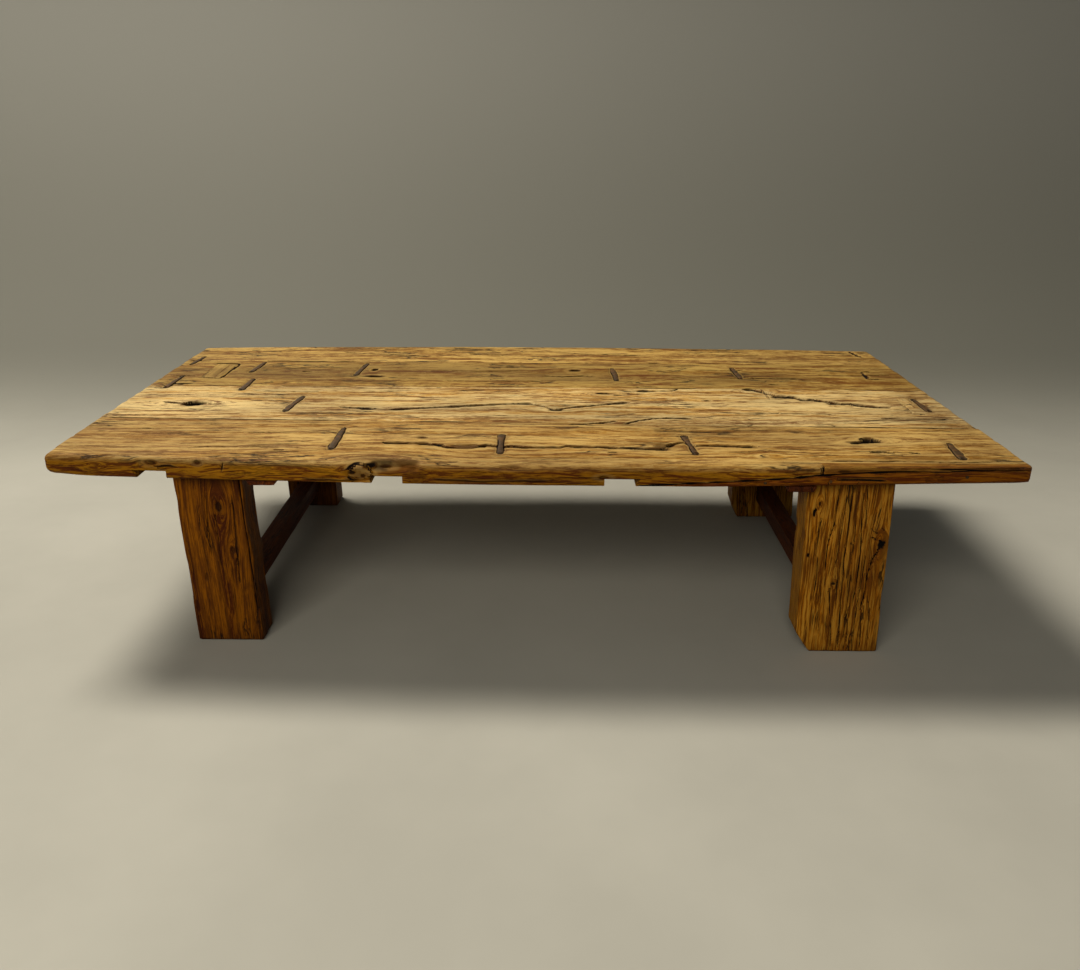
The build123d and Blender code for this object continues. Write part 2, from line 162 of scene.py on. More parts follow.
# Each pit is its middle, its half length and half width, its depth, all in millimetres, and how dark it is.
TOP_PITS = (
    (-132, -388, 30, 8.0, 12, 1.0), (-118, -379, 40, 8.5, 4.0, 0.35), (-188, -372, 22, 7.0, 5, 0.8),
    (-40, -381, 15, 6.5, 10, 1.0), (47, -133, 13, 7.0, 12, 1.0), (242, -392, 17, 7.0, 9, 1.0),
    (120, -381, 24, 6.0, 9, 1.0), (185, -388, 22, 5.5, 8, 1.0), (403, -373, 19, 7.0, 10, 1.0),
    (255, 24, 18, 8.0, 8, 0.9), (158, 1, 17, 6.0, 5, 0.7), (188, -12, 10, 4.0, 5, 0.7),
    (-397, 215, 8, 13.0, 8, 1.0), (-386, 148, 22, 9.5, 9, 1.0), (-357, -132, 8, 5.0, 8, 1.0),
    (98, 216, 14, 10.0, 7, 0.9), (133, 162, 13, 3.5, 5, 0.7), (382, -53, 5, 3.5, 6, 0.8),
    (738, 95, 12, 5.5, 3, -0.9), (494, 44, 14, 11.0, 8, 0.9), (560, -18, 26, 10.0, 9, 1.0),
    (610, -42, 24, 8.5, 9, 1.0), (676, -74, 34, 7.0, 8, 0.9), (-738, -99, 25, 19.5, 14, 1.0),
    (654, -331, 19, 17.0, 14, 1.0), (628, -344, 20, 7.0, 8, 1.0), (-357, -132, 16, 8.0, 7, 0.9),
    (252, -372, 18, 10.0, 4, 0.4), (291, -420, 26, 4.0, 3, 0.4), (150, -412, 9, 3.0, 4, 0.6),
    (-470, -410, 9, 3.5, 3, 0.5), (-212, -330, 10, 6.0, 3, 0.45), (-640, -250, 12, 3.5, 3, 0.4),
    (-850, -300, 8, 3.0, 3, 0.4), (-60, 250, 12, 4.0, 4, 0.5), (300, 300, 14, 3.5, 4, 0.5),
    (560, 90, 9, 4.0, 4, 0.5), (-560, 190, 10, 4.0, 4, 0.5), (804, -250, 8, 3.5, 3, 0.5),
)
# Knots that the grain of the top runs round: X, Y and radius in millimetres, and how dark the knot is.
TOP_KNOTS = (
    (-737, -98, 30, 0.15), (654, -330, 24, 0.15), (158, -4, 26, 0.45), (98, 216, 15, 0.5),
    (-392, 175, 18, 0.35), (382, -53, 10, 0.6), (512, 30, 26, 0.3), (47, -120, 18, 0.35),
    (-118, -384, 24, 0.35), (250, -382, 22, 0.4), (-290, -470, 42, 0.25), (680, -85, 22, 0.2),
    (-20, -386, 14, 0.3), (-560, -180, 9, 0.35), (30, 330, 12, 0.4), (330, -262, 11, 0.25),
    (-250, 60, 13, 0.3), (560, 360, 14, 0.35), (-60, 440, 10, 0.3), (130, -290, 9, 0.2),
    (-480, -330, 8, 0.3), (790, 300, 12, 0.3), (-160, 300, 10, 0.25), (440, -430, 12, 0.25),
)
# Splits in the front edge: (X, Z) points, half width and depth, in millimetres, and how dark it is.
FACE_SPLITS = (
    (((192, 357.5), (320, 364), (445, 371), (523, 378.5), (562, 382), (640, 385.5)), 0.9, 9, 1.0),
    (((620, 384.9), (640, 385.5), (760, 387.6), (888, 389.8)), 0.5, 7, 0.9),
    (((470, 374), (523, 378.5), (562, 382), (640, 385.5), (700, 386.6)), 1.3, 9, 1.0),
    (((610, 391.5), (663, 391), (709, 392), (768, 393), (830, 394), (880, 396)), 0.4, 4, 0.5),
    (((521.5, 378), (522, 388), (523, 400)), 1.5, 6, 1.0),
    (((531, 371), (534, 364), (533, 357)), 0.9, 4, 0.9), (((585, 357), (586, 364), (588, 371)), 0.7, 3, 0.7),
    (((-562, 372), (-560, 384), (-557, 392)), 1.5, 4, 0.8),
    (((-690, 378), (-660, 381), (-640, 379)), 1.3, 3, 0.6),
    (((545, 370.5), (580, 371.5), (640, 370)), 1.3, 4, 0.7),
    (((-180, 366), (-90, 363), (40, 366)), 1.3, 3, 0.5),
    (((-420, 362), (-340, 360.5), (-300, 362)), 1.3, 3, 0.5),
)
FACE_PITS = (
    (-606, 390, 5, 3.5, 4, 0.45), (-690, 386, 9, 4.0, 2, 0.4), (-290, 389, 12, 5.0, 9, 1.0),
    (-284, 366, 4, 5.0, 5, 0.9), (-322, 377, 6, 3.0, 3, 0.6), (-303, 371, 4, 3.0, 3, 0.5),
    (-262, 386, 9, 2.5, 4, 0.5), (560, 386.5, 15, 2.4, 3, 0.5), (130, 374, 8, 3.0, 3, 0.5),
    (-40, 390, 20, 3.0, 3, 0.3),
)
# Knots in the front edge that its grain runs round: X, Z, half length, half height, and how dark it is.
FACE_KNOTS = (
    (-311, 374, 25, 13, 0.75), (-452, 377, 62, 9, 0.0), (-606, 389, 10, 6, 0.5), (-698, 383, 18, 8, 0.1),
    (-206, 371, 18, 11, 0.4), (-104, 376, 48, 8, 0.0), (30, 372, 30, 7, 0.0), (-540, 366, 24, 6, 0.1),
    (340, 381, 40, 8, 0.0), (-800, 377, 22, 8, 0.1),
)
# Stained stretches of the front edge: X, Z, half length and half height in millimetres, and strength.
FACE_STAINS = (
    (-246, 388, 44, 13, 1.0), (-208, 372, 22, 18, 0.8), (-309, 376, 32, 20, 0.1), (0, 366, 200, 10, 0.35),
    (-120, 360, 120, 8, 0.35), (330, 362, 90, 6, 0.45), (720, 372, 240, 14, 0.15), (-640, 360, 120, 6, 0.3),
)
# Width of each cramp's bar at seven places from its front end to its rear end, as a share of its solid's.
CRAMP_WIDTHS = {
    1: (0.55, 0.70, 0.76, 0.76, 0.72, 0.66, 0.50),
    2: (0.92, 0.92, 0.84, 0.74, 0.62, 0.52, 0.42),
    3: (0.70, 0.88, 0.94, 0.88, 0.82, 0.76, 0.60),
    4: (0.86, 0.94, 0.92, 0.84, 0.74, 0.66, 0.58),
    5: (0.78, 0.86, 0.82, 0.76, 0.72, 0.68, 0.58),
    6: (0.66, 0.84, 0.80, 0.70, 0.74, 0.86, 0.66),
    7: (0.76, 0.98, 0.94, 0.84, 0.74, 0.60, 0.42),
    8: (0.62, 0.67, 0.62, 0.53, 0.57, 0.83, 0.83),
    9: (0.51, 0.56, 0.54, 0.52, 0.61, 0.74, 0.71),
    10: (0.56, 0.64, 0.65, 0.68, 0.71, 0.68, 0.55),
    11: (0.48, 0.76, 0.86, 0.79, 0.72, 0.65, 0.46),
    12: (0.94, 1.00, 0.90, 0.74, 0.66, 0.58, 0.50),
    13: (0.80, 0.96, 0.94, 0.86, 0.76, 0.68, 0.58),
}
# Stained stretches of the top: middle, half length, half width in millimetres, and strength.
TOP_STAINS = (
    (-690, 180, 210, 90, 0.75), (-470, 150, 190, 90, 0.55), (-340, 215, 150, 60, 0.35),
    # The stretch at (860, -100), over the right end, is painted shade, for that end lying darker.
    (860, -100, 90, 420, 0.55), (-130, -380, 110, 30, 0.45), (250, -385, 130, 28, 0.40),
    (-280, -455, 90, 40, 0.45), (640, -60, 150, 30, 0.30), (330, 140, 330, 70, 0.50),
    (-30, 170, 260, 70, 0.50), (560, 150, 160, 70, 0.35), (-870, 60, 60, 400, 0.25),
    (-736, -98, 60, 26, 0.10), (655, -330, 60, 26, 0.10), (440, -250, 90, 24, 0.22),
    (-560, -455, 320, 26, 0.15), (700, -455, 240, 40, 0.35), (60, -225, 220, 26, 0.18),
)
# Splits in the legs, as (X, Z) points on the front face, half width and depth, in millimetres.
LEG_SPLITS = {
    "leg_front_right": (
        (((567, 344), (566, 307), (565, 269), (557, 228), (558, 172)), 0.44, 6, 1.0),
        (((592, 350), (592, 291), (593, 248), (592, 200), (595, 136), (597, 87), (601, 8)), 0.46, 7, 1.0),
        (((612, 335), (615, 281), (620, 228), (621, 158), (619, 100)), 0.44, 6, 1.0),
        (((571, 144), (574, 110), (577, 78)), 0.51, 6, 1.0),
        (((656, 221), (645, 198), (640, 168), (639, 119), (634, 90)), 0.72, 8, 1.0),
        (((617, 350), (622, 301), (624, 262)), 0.38, 4, 0.9),
        (((613, 78), (615, 42), (616, 12)), 0.38, 4, 0.9),
        (((636, 80), (641, 44), (643, 8)), 0.33, 4, 0.8),
        (((541, 205), (543, 160), (542, 110)), 0.38, 4, 0.9),
        (((540, 286), (538, 250), (537, 205)), 0.33, 4, 0.8),
        (((580, 70), (584, 40), (586, 10)), 0.38, 4, 0.9),
        (((651, 100), (655, 60), (656, 20)), 0.33, 4, 0.8),
        (((603, 340), (603, 290), (606, 240), (605, 190)), 0.30, 3, 0.8),
        (((583, 335), (580, 280), (579, 225), (575, 180)), 0.30, 3, 0.8),
        (((607, 170), (608, 120), (607, 60)), 0.33, 3, 0.85),
        (((586, 195), (584, 150), (586, 100)), 0.33, 3, 0.85),
        (((630, 210), (630, 150), (626, 95), (627, 30)), 0.33, 3, 0.85),
        (((553, 150), (556, 100), (560, 40)), 0.30, 3, 0.75),
        (((634, 264), (640, 257), (653, 252)), 0.55, 4, 1.0),
        (((635, 247), (646, 241), (661, 236)), 0.59, 5, 1.0),
        (((651, 216), (657, 228), (665, 238)), 1.47, 8, 1.0),
        (((640, 300), (640, 284), (638, 268)), 0.33, 3, 0.8),
        (((652, 270), (656, 262), (664, 258)), 0.42, 3, 0.9),
    ),
    "leg_front_left": (
        (((-599, 281), (-599, 219), (-600, 156)), 0.41, 3, 0.55),
        (((-563, 302), (-565, 219), (-567, 124)), 0.54, 3, 0.8),
        (((-612, 321), (-615, 261), (-616, 177)), 0.41, 3, 0.5),
        (((-548, 352), (-545, 250), (-541, 140), (-539, 60)), 0.88, 6, 1.0),
    ),
    "leg_rear_left": (
        (((-600, 330), (-597, 240), (-592, 150)), 0.61, 5, 0.9),
        (((-640, 200), (-637, 110), (-633, 20)), 0.54, 4, 0.8),
        (((-560, 350), (-562, 290), (-560, 230)), 0.54, 4, 0.8),
    ),
    "leg_rear_right": (
        (((560, 350), (563, 260), (561, 170)), 0.75, 6, 1.0),
        (((610, 300), (607, 200), (611, 90), (610, 10)), 0.75, 7, 1.0),
        (((640, 350), (643, 280), (640, 220)), 0.54, 4, 0.8),
        (((590, 130), (592, 70), (596, 10)), 0.61, 4, 0.8),
    ),
}
LEG_PITS = {
    "leg_front_right": (
        (657, 229, 5.5, 8, 8, 1.0), (525, 292, 2.4, 7, 5, 1.0), (527, 300, 1.6, 4, 3, 0.8),
        (533, 312, 2, 4, 3, 0.6), (522, 208, 2.4, 4, 3, 0.7), (576, 148, 4, 3, 3, 0.6),
        (600, 232, 2, 3, 2, 0.5),
    ),
    "leg_front_left": ((-591, 287, 6, 9, 2.5, 0.5), (-572, 196, 4, 8, 2, 0.4), (-630, 140, 3, 9, 2, 0.4)),
    "leg_rear_left": ((-610, 250, 7, 10, 4, 0.8),),
    "leg_rear_right": ((570, 120, 7, 10, 4, 0.8), (640, 160, 5, 9, 4, 0.7)),
}
LEG_KNOTS = {
    "leg_front_right": ((657, 229, 15, 0.6), (533, 312, 8, 0.3), (576, 148, 7, 0.3)),
    "leg_front_left": ((-591, 287, 17, 0.45), (-572, 196, 9, 0.3)),
    "leg_rear_left": ((-610, 250, 14, 0.5),),
    "leg_rear_right": ((570, 120, 12, 0.5),),
}
# Dents in the sides of a leg: side of the leg, middle Z, half height and depth, in millimetres.
LEG_DENTS = {
    "leg_front_left": (("left", 136, 30, 5.0), ("right", 262, 34, 4.0), ("right", 182, 12, -2.0),
                       ("right", 118, 22, 4.0), ("left", 300, 18, 1.5)),
    "leg_front_right": (("left", 245, 14, 2.0), ("right", 120, 26, 2.0)),
    "leg_rear_left": (("left", 220, 26, 3.0),),
    "leg_rear_right": (("right", 180, 26, 3.0),),
}
# Foot bevels on the inner side of the right legs: width and height.
FOOT_BEVELS = {"leg_front_right": (26 * MM, 43 * MM), "leg_rear_right": (13 * MM, 40 * MM)}


# ------------------------------------------------------------------------------------- what a user changes
def tint(code):
    """Linear red, green and blue of a web colour."""
    values = [int(code[i:i + 2], 16) / 255 for i in (1, 3, 5)]
    return tuple(v / 12.92 if v <= 0.04045 else ((v + 0.055) / 1.055) ** 2.4 for v in values)


def colour(name, code, description):
    """A colour that the user can change."""
    return FloatVectorProperty(name=name, description=description, subtype="COLOR", size=3, min=0, max=1,
                               default=tint(code))


def length(name, default, description):
    """A length in metres that the user can change."""
    return FloatProperty(name=name, description=description, default=default, unit="LENGTH", precision=4)


class TopSettings(bpy.types.PropertyGroup):
    """Sizes and colours of the top."""
    relief: length("Relief", 0.9 * MM, "Height of the weathered ridges above the hollows between them")
    arris_drop: length("Arris Drop", 13 * MM, "Height of the rounding along the upper edges")
    arris_run: length("Arris Run", 15 * MM, "Depth of the rounding along the upper edges")
    lower_arris: length("Lower Arris", 5 * MM, "Radius of the rounding along the lower edges")
    joint_wear: length("Joint Wear", 1.3 * MM, "Depth of the worn groove over a joint")
    iron_dish: length("Iron Dish", 1.4 * MM, "Depth of the worn dish round each cramp")
    front_pale: colour("Front Pale", "#cba862", "Rubbed ridges of the front plank")
    front_body: colour("Front Body", "#ab7d2f", "Body of the front plank")
    centre_front_pale: colour("Centre Front Pale", "#dfc384", "Rubbed ridges of the second plank")
    centre_front_body: colour("Centre Front Body", "#c49648", "Body of the second plank")
    centre_rear_pale: colour("Centre Rear Pale", "#b5954e", "Rubbed ridges of the third plank")
    centre_rear_body: colour("Centre Rear Body", "#906a28", "Body of the third plank")
    rear_pale: colour("Rear Pale", "#c8a45a", "Rubbed ridges of the rear plank")
    rear_body: colour("Rear Body", "#997433", "Body of the rear plank")
    line: colour("Grain Lines", "#643504", "Dark late wood of each ring")
    # Stained wood: the colour of real stains and knots, and also of the painted shade along the front edge
    # and over the right end.
    shade: colour("Stained Wood", "#452806", "Wood darkened by use")
    # Crevice: painted shade, the near-black drawn at the bottom of splits, pits, checks, holes and open
    # joints.
    crevice_shade: colour("Crevice", "#0e0602", "Bottom of splits and pits")
    # Edge tone: painted shade, making the top's outer faces darker and more orange, as faces that take less
    # light look.
    edge_tone_and_shade: colour("Edge Tone", "#ffd33c", "What the wood of the outer edges is multiplied by")
    strip: colour("Edge Strip Wood", "#774012", "Body of the strips let into the front edge")


class LegSettings(bpy.types.PropertyGroup):
    """Sizes and colours of the legs, battens and stretchers."""
    relief: length("Relief", 1.0 * MM, "Height of the weathered ridges on the legs")
    arris: length("Arris", 4.5 * MM, "Rounding of a leg's edges")
    dark: colour("Dark Leg", "#4c1d00", "Body of the left legs")
    dark_line: colour("Dark Leg Lines", "#2b0c00", "Grain lines of the left legs")
    golden: colour("Golden Leg", "#bc7205", "Body of the right legs")
    golden_pale: colour("Golden Leg Ridges", "#d89c34", "Rubbed ridges of the right legs")
    golden_line: colour("Golden Leg Lines", "#542802", "Grain lines of the right legs")
    rail: colour("Rails", "#7d3f10", "Body of the battens and stretchers")


class IronSettings(bpy.types.PropertyGroup):
    """Sizes and colours of the cramps and nails."""
    proud: length("Proud", 0.45 * MM, "How far the forged bar stands above its plain solid")
    crown: length("Crown", 0.9 * MM, "How much higher the middle of a bar is than its edges")
    iron: colour("Iron", "#33240f", "Dark forged iron")
    rust: colour("Rust", "#553713", "Old rust in the hollows")
    rubbed: colour("Rubbed Iron", "#765a36", "Edges rubbed bright")


class StudioSettings(bpy.types.PropertyGroup):
    """Camera, lights and background."""
    camera_place: FloatVectorProperty(name="Camera Place", description="Where the camera stands",
                                      subtype="TRANSLATION", unit="LENGTH", size=3,
                                      default=(0.0249, -2.0829, 0.9618))
    camera_dip: FloatProperty(name="Camera Dip", description="How far the camera looks down",
                              default=0.3611, unit="ROTATION")
    camera_turn: FloatProperty(name="Camera Turn", description="How far the camera looks to the right",
                               default=-0.0053, unit="ROTATION")
    camera_roll: FloatProperty(name="Camera Roll", description="How far the camera leans",
                               default=0.0045, unit="ROTATION")
    lens: FloatProperty(name="Lens", description="Focal length for a sensor 36 mm wide, in millimetres",
                        default=31.67)
    key_power: FloatProperty(name="Key Light", description="Power of the softbox overhead, in watts",
                             default=890.0)
    key_colour: colour("Key Colour", "#fff6e8", "Colour of the softbox overhead")
    fill_power: FloatProperty(name="Fill Light", description="Power of the softbox at the front, in watts",
                              default=60.0)
    ambient: FloatProperty(name="Ambient", description="Strength of the light from all round", default=0.045)
    floor: colour("Floor", "#b4b3a8", "Floor")
    wall: colour("Wall", "#92928a", "Backdrop well above the floor")
    wall_foot: colour("Wall Foot", "#6a6a61", "Backdrop where it leaves the floor")
    wall_place: length("Wall Place", 3.6, "Y of the backdrop's wall")


# ------------------------------------------------------------------------------------------------ outlines
def arc_y(x, middle, half, inset):
    """How far an arc has fallen back at x, if it has fallen back by inset at half its length."""
    radius = (half**2 + inset**2) / (2 * inset)
    return radius - np.sqrt(radius**2 - np.minimum(np.abs(x - middle), half) ** 2)


def front_y(x):
    """Y of the front edge of the top."""
    left = arc_y(x, FRONT_DEEPEST_X, FRONT_DEEPEST_X + HALF_LENGTH, FRONT_LEFT_INSET)
    right = arc_y(x, FRONT_DEEPEST_X, HALF_LENGTH - FRONT_DEEPEST_X, FRONT_RIGHT_INSET)
    return FRONT_Y + np.where(x < FRONT_DEEPEST_X, left, right)


def rear_y(x):
    """Y of the rear edge of the top."""
    return REAR_Y - arc_y(x, 0.0, HALF_LENGTH, REAR_CORNER_INSET)


def joint_y(joint, x):
    """Y of a joint between planks."""
    left, right = JOINTS[joint]
    return left + (right - left) * (x + HALF_LENGTH) / (2 * HALF_LENGTH)


# --------------------------------------------------------------------------------------------------- noise
_random = np.random.default_rng(NOISE_SEED)
_ORDER = _random.permutation(256)
_LEVELS = _random.random(256)


def noise(points, cells, seed):
    """Smooth noise from 0 to 1 at each point, with so many cells to a metre along X, Y and Z."""
    place = points * np.array(cells, float) + seed * 17.31
    cell = np.floor(place).astype(np.int64)
    part = place - cell
    part = part * part * (3 - 2 * part)
    total = np.zeros(len(points))
    for step in np.ndindex(2, 2, 2):
        corner = cell + np.array(step)
        key = _ORDER[corner[:, 0] & 255]
        key = _ORDER[(key + corner[:, 1]) & 255]
        key = _ORDER[(key + corner[:, 2]) & 255]
        share = np.where(np.array(step), part, 1 - part).prod(axis=1)
        total += _LEVELS[key] * share
    return total


def points_at(x, y, z=0.0):
    """Places as rows of X, Y and Z."""
    return np.column_stack(np.broadcast_arrays(x, y, z))


def layered(points, cells, seed, layers=3):
    """Noise in several layers, each twice as fine and half as strong as the last."""
    total, strength, whole = 0.0, 1.0, 0.0
    for layer in range(layers):
        total = total + strength * noise(points, np.array(cells, float) * 2**layer, seed + layer)
        whole += strength
        strength *= 0.5
    return total / whole


def smooth_step(low, high, value):
    """0 below low, 1 above high, and a smooth rise between."""
    part = np.clip((value - low) / (high - low), 0, 1)
    return part * part * (3 - 2 * part)


def bump_at(distance, width):
    """1 where a distance is nothing, and less the further off it is for a width."""
    return np.exp(-((distance / width) ** 2))


# ------------------------------------------------------------------------------------ splits, pits, knots
FAR = 9.0        # "off" of a point that lies beyond every split
WIDE_PIT = 6     # half width in millimetres past which a pit's stained rim grows no wider


def no_marks(along):
    """Points without a split: no cut, far off and not dark."""
    return np.zeros(len(along)), np.full(len(along), FAR), np.zeros(len(along))


def split_field(along, across, splits, seed, sway=4.0, even=0.35):
    """Splits at points of a face: depth of the cut, distance off in half widths, and how dark it is."""
    depth, off, dark = no_marks(along)
    for number, (line, half_width, deep, strength) in enumerate(splits):
        line = np.array(line, float) * MM
        if np.ptp(line[:, 0]) < np.ptp(line[:, 1]):
            run, side, line = across, along, line[:, ::-1]
        else:
            run, side = along, across
        line = line[np.argsort(line[:, 0])]
        near = np.nonzero((run > line[0, 0]) & (run < line[-1, 0]))[0]
        if len(near) == 0:
            continue
        r = run[near]
        flat = points_at(r, 0.0)
        wander = (layered(flat, (45, 1, 1), seed + number, 2) - 0.5) * min(sway, 1.6 * half_width) * MM
        centre = np.interp(r, line[:, 0], line[:, 1]) + wander
        taper = np.minimum(r - line[0, 0], line[-1, 0] - r) / (14 * MM)
        taper = np.clip(taper, 0, 1) ** 0.6
        swell = even + 2 * (1.05 - even) * layered(flat, (34, 1, 1), seed + number + 40, 2)
        reach = half_width * MM * swell * taper + 0.12 * MM
        t = (side[near] - centre) / reach
        cut = deep * MM * taper * np.clip(1 - (t * reach / (reach + 0.8 * MM)) ** 2, 0, 1) ** 0.6
        depth[near] = np.maximum(depth[near], cut)
        closer = np.abs(t) < np.abs(off[near])
        off[near] = np.where(closer, np.clip(t, -FAR, FAR), off[near])
        dark[near] = np.where(closer, strength * (0.35 + 0.65 * taper), dark[near])
    return depth, off, dark


def pit_field(along, across, pits, seed):
    """Ragged pits at points of a face: depth, distance off in half widths, and how dark they are."""
    depth, off, dark = no_marks(along)
    ragged = layered(points_at(along, across), (70, 160, 1), seed, 2) - 0.5
    for x, y, half_length, half_width, deep, strength in pits:
        t = ((along - x * MM) / (half_length * MM)) ** 2 + ((across - y * MM) / (half_width * MM)) ** 2
        t = np.maximum(np.sqrt(t) + ragged * 0.8, 0)
        depth = np.maximum(depth, deep * MM * np.clip(1 - t * t, 0, 1) ** 0.5)
        t = np.where(t > 1, 1 + (t - 1) * max(half_width / WIDE_PIT, 1), t)
        closer = t < off
        off = np.where(closer, t, off)
        dark = np.where(closer, strength, dark)
    return depth, off, dark


def nearest(*fields):
    """Of several fields of splits, the deepest cut at each point and the split that lies nearest."""
    depth, off, dark = fields[0]
    for other_depth, other_off, other_dark in fields[1:]:
        other_reach = np.abs(other_off) * (1.3 - 0.3 * np.abs(other_dark))
        closer = other_reach < np.abs(off) * (1.3 - 0.3 * np.abs(dark))
        depth = np.maximum(depth, other_depth)
        off = np.where(closer, other_off, off)
        dark = np.where(closer, other_dark, dark)
    return depth, off, dark


def spots(along, across, table, low, high, ragged=0.0):
    """How strongly each point lies in each spot of a table: fully within low of it, and not past high."""
    found = []
    for x, y, half_length, half_width, strength in table:
        t = np.hypot((along - x * MM) / (half_length * MM), (across - y * MM) / (half_width * MM)) + ragged
        found.append(strength * (1 - smooth_step(low, high, t)))
    return np.array(found)


def cramp_bars():
    """Middle, direction, length and width of each cramp's bar, read from its solid."""
    bars = []
    for name in sorted(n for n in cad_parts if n.startswith("cramp_")):
        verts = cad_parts[name].data.vertices
        points = np.array([v.co for v in verts])
        upper = points[points[:, 2] > points[:, 2].max() - 1 * MM][:, :2]
        middle = (upper.max(0) + upper.min(0)) / 2
        spread = upper - middle
        end = spread[np.argmax(spread[:, 1] + 0.001 * spread[:, 0])]
        axis = np.linalg.eigh(np.cov(spread.T))[1][:, 1]
        axis = axis if axis @ end > 0 else -axis
        side = np.array((axis[1], -axis[0]))
        bars.append({"name": name, "middle": middle, "axis": axis, "side": side,
                     "length": np.ptp(spread @ axis), "width": np.ptp(spread @ side)})
    return bars


BARS = cramp_bars()


def bar_outline(bar, part):
    """Half the width of a cramp's bar, and how far it bends aside, along its length from -1 to 1."""
    number = int(bar["name"][-2:])
    stations = np.linspace(-1, 1, 7)
    sample = points_at(part, 1.3 * number)
    rough = layered(sample, (5, 1, 1), 81, 3) - 0.5
    half = bar["width"] / 2 * (np.interp(part, stations, CRAMP_WIDTHS[number]) + 0.30 * rough)
    half *= np.sqrt(1 - 0.8 * np.clip((np.abs(part) - 0.88) / 0.12, 0, 1) ** 2)
    bend = (layered(sample, (2.0, 1, 1), 84, 2) - 0.5) * 3.0 * MM * (1 - part**2)
    return np.minimum(half, bar["width"] / 2 - 0.3 * MM), bend


def bar_distance(x, y):
    """Distance to the outline of the nearest cramp; negative inside it."""
    nearest_yet = np.full(len(x), 1.0)
    for bar in BARS:
        px, py = x - bar["middle"][0], y - bar["middle"][1]
        close = np.nonzero(np.hypot(px, py) < bar["length"] / 2 + 40 * MM)[0]
        px, py = px[close], py[close]
        along = px * bar["axis"][0] + py * bar["axis"][1]
        half_length = bar["length"] / 2 - END_GAP
        half, bend = bar_outline(bar, np.clip(along / half_length, -1, 1))
        aside = np.abs(px * bar["side"][0] + py * bar["side"][1] - bend) - half
        beyond = np.abs(along) - half_length
        away = np.hypot(np.maximum(beyond, 0), np.maximum(aside, 0))
        away += np.minimum(np.maximum(beyond, aside), 0)
        nearest_yet[close] = np.minimum(nearest_yet[close], away)
    return nearest_yet


def joint_gap(x, y):
    """Signed distance to the nearest joint, and half the width that it stands open there."""
    away = np.full(len(x), 1.0)
    gap = np.full(len(x), 0.6 * MM)
    for joint in JOINTS:
        here = y - joint_y(joint, x)
        own = np.full(len(x), 1.0 * MM)
        for name, start, end, half in OPEN_JOINTS:
            if name == joint:
                share = smooth_step(0, 30 * MM, np.minimum(x - start * MM, end * MM - x))
                own = np.maximum(own, 1.5 * half * MM * share)
        closer = np.abs(here) < np.abs(away)
        away, gap = np.where(closer, here, away), np.where(closer, own, gap)
    return away, gap


def eaten(x):
    """The stretch of the front edge, along X, that is eaten away over an empty slot."""
    begin, full, waning, end = (place * MM for place in EATEN)
    return smooth_step(begin, full, x) * smooth_step(end, waning, x)


def top_surface(x, y, settings):
    """The worn upper surface: how far below the solid's it is, its nearest split and how dark that is."""
    flat = points_at(x, y)
    ridges = layered(flat, (4.5, 85, 1), 3, 3)
    weather = smooth_step(0.3, 0.75, layered(flat, (2.2, 9, 1), 8, 2))
    broad = layered(flat, (1.6, 6, 1), 5, 2)
    fine = noise(flat, (14, 240, 1), 21)
    depth = 0.35 * MM + settings.relief * (0.35 + 0.9 * weather) * (1 - ridges) ** 1.5 * 1.6
    depth += 1.0 * MM * broad + 0.25 * MM * fine
    away, gap = joint_gap(x, y)
    groove = bump_at(away, gap + 1.5 * MM)
    depth += settings.joint_wear * groove * (0.5 + 0.8 * ridges)
    depth += 5 * MM * groove**2 * smooth_step(1.8 * MM, 3 * MM, gap)
    swell = 0.5 + 1.0 * layered(flat, (30, 30, 1), 66, 2)
    joint_dark = 0.95 * smooth_step(0.6 * MM, 2.0 * MM, gap)
    joints = (np.zeros(len(x)), np.clip(away / (gap * swell), -FAR, FAR), joint_dark)
    bars = bar_distance(x, y)
    dish = bump_at(np.maximum(bars, 0), 8 * MM)
    depth += settings.iron_dish * dish * (0.5 + layered(flat, (60, 60, 1), 68, 2))
    depth += 1.2 * MM * (bars < 0.4 * MM)
    # A dark outline round each cramp, drawn like a split in the crevice colour: painted shade in the gap
    # round the iron.
    lip = (0.7 + 2.2 * layered(flat, (55, 90, 1), 70, 2)) * MM
    irons = (np.zeros(len(x)), np.clip(bars / lip, -FAR, FAR), np.full(len(x), 0.9))
    torn = layered(flat, (42, 90, 1), 39, 3)
    behind = y - front_y(x) + 8 * MM * (torn - 0.5)
    depth += eaten(x) * smooth_step(26 * MM, 8 * MM, behind) * (6 * MM + 7 * MM * torn)
    cut, off, dark = nearest(split_field(x, y, TOP_SPLITS, 60), pit_field(x, y, TOP_PITS, 90), joints, irons)
    return depth + cut, off, dark


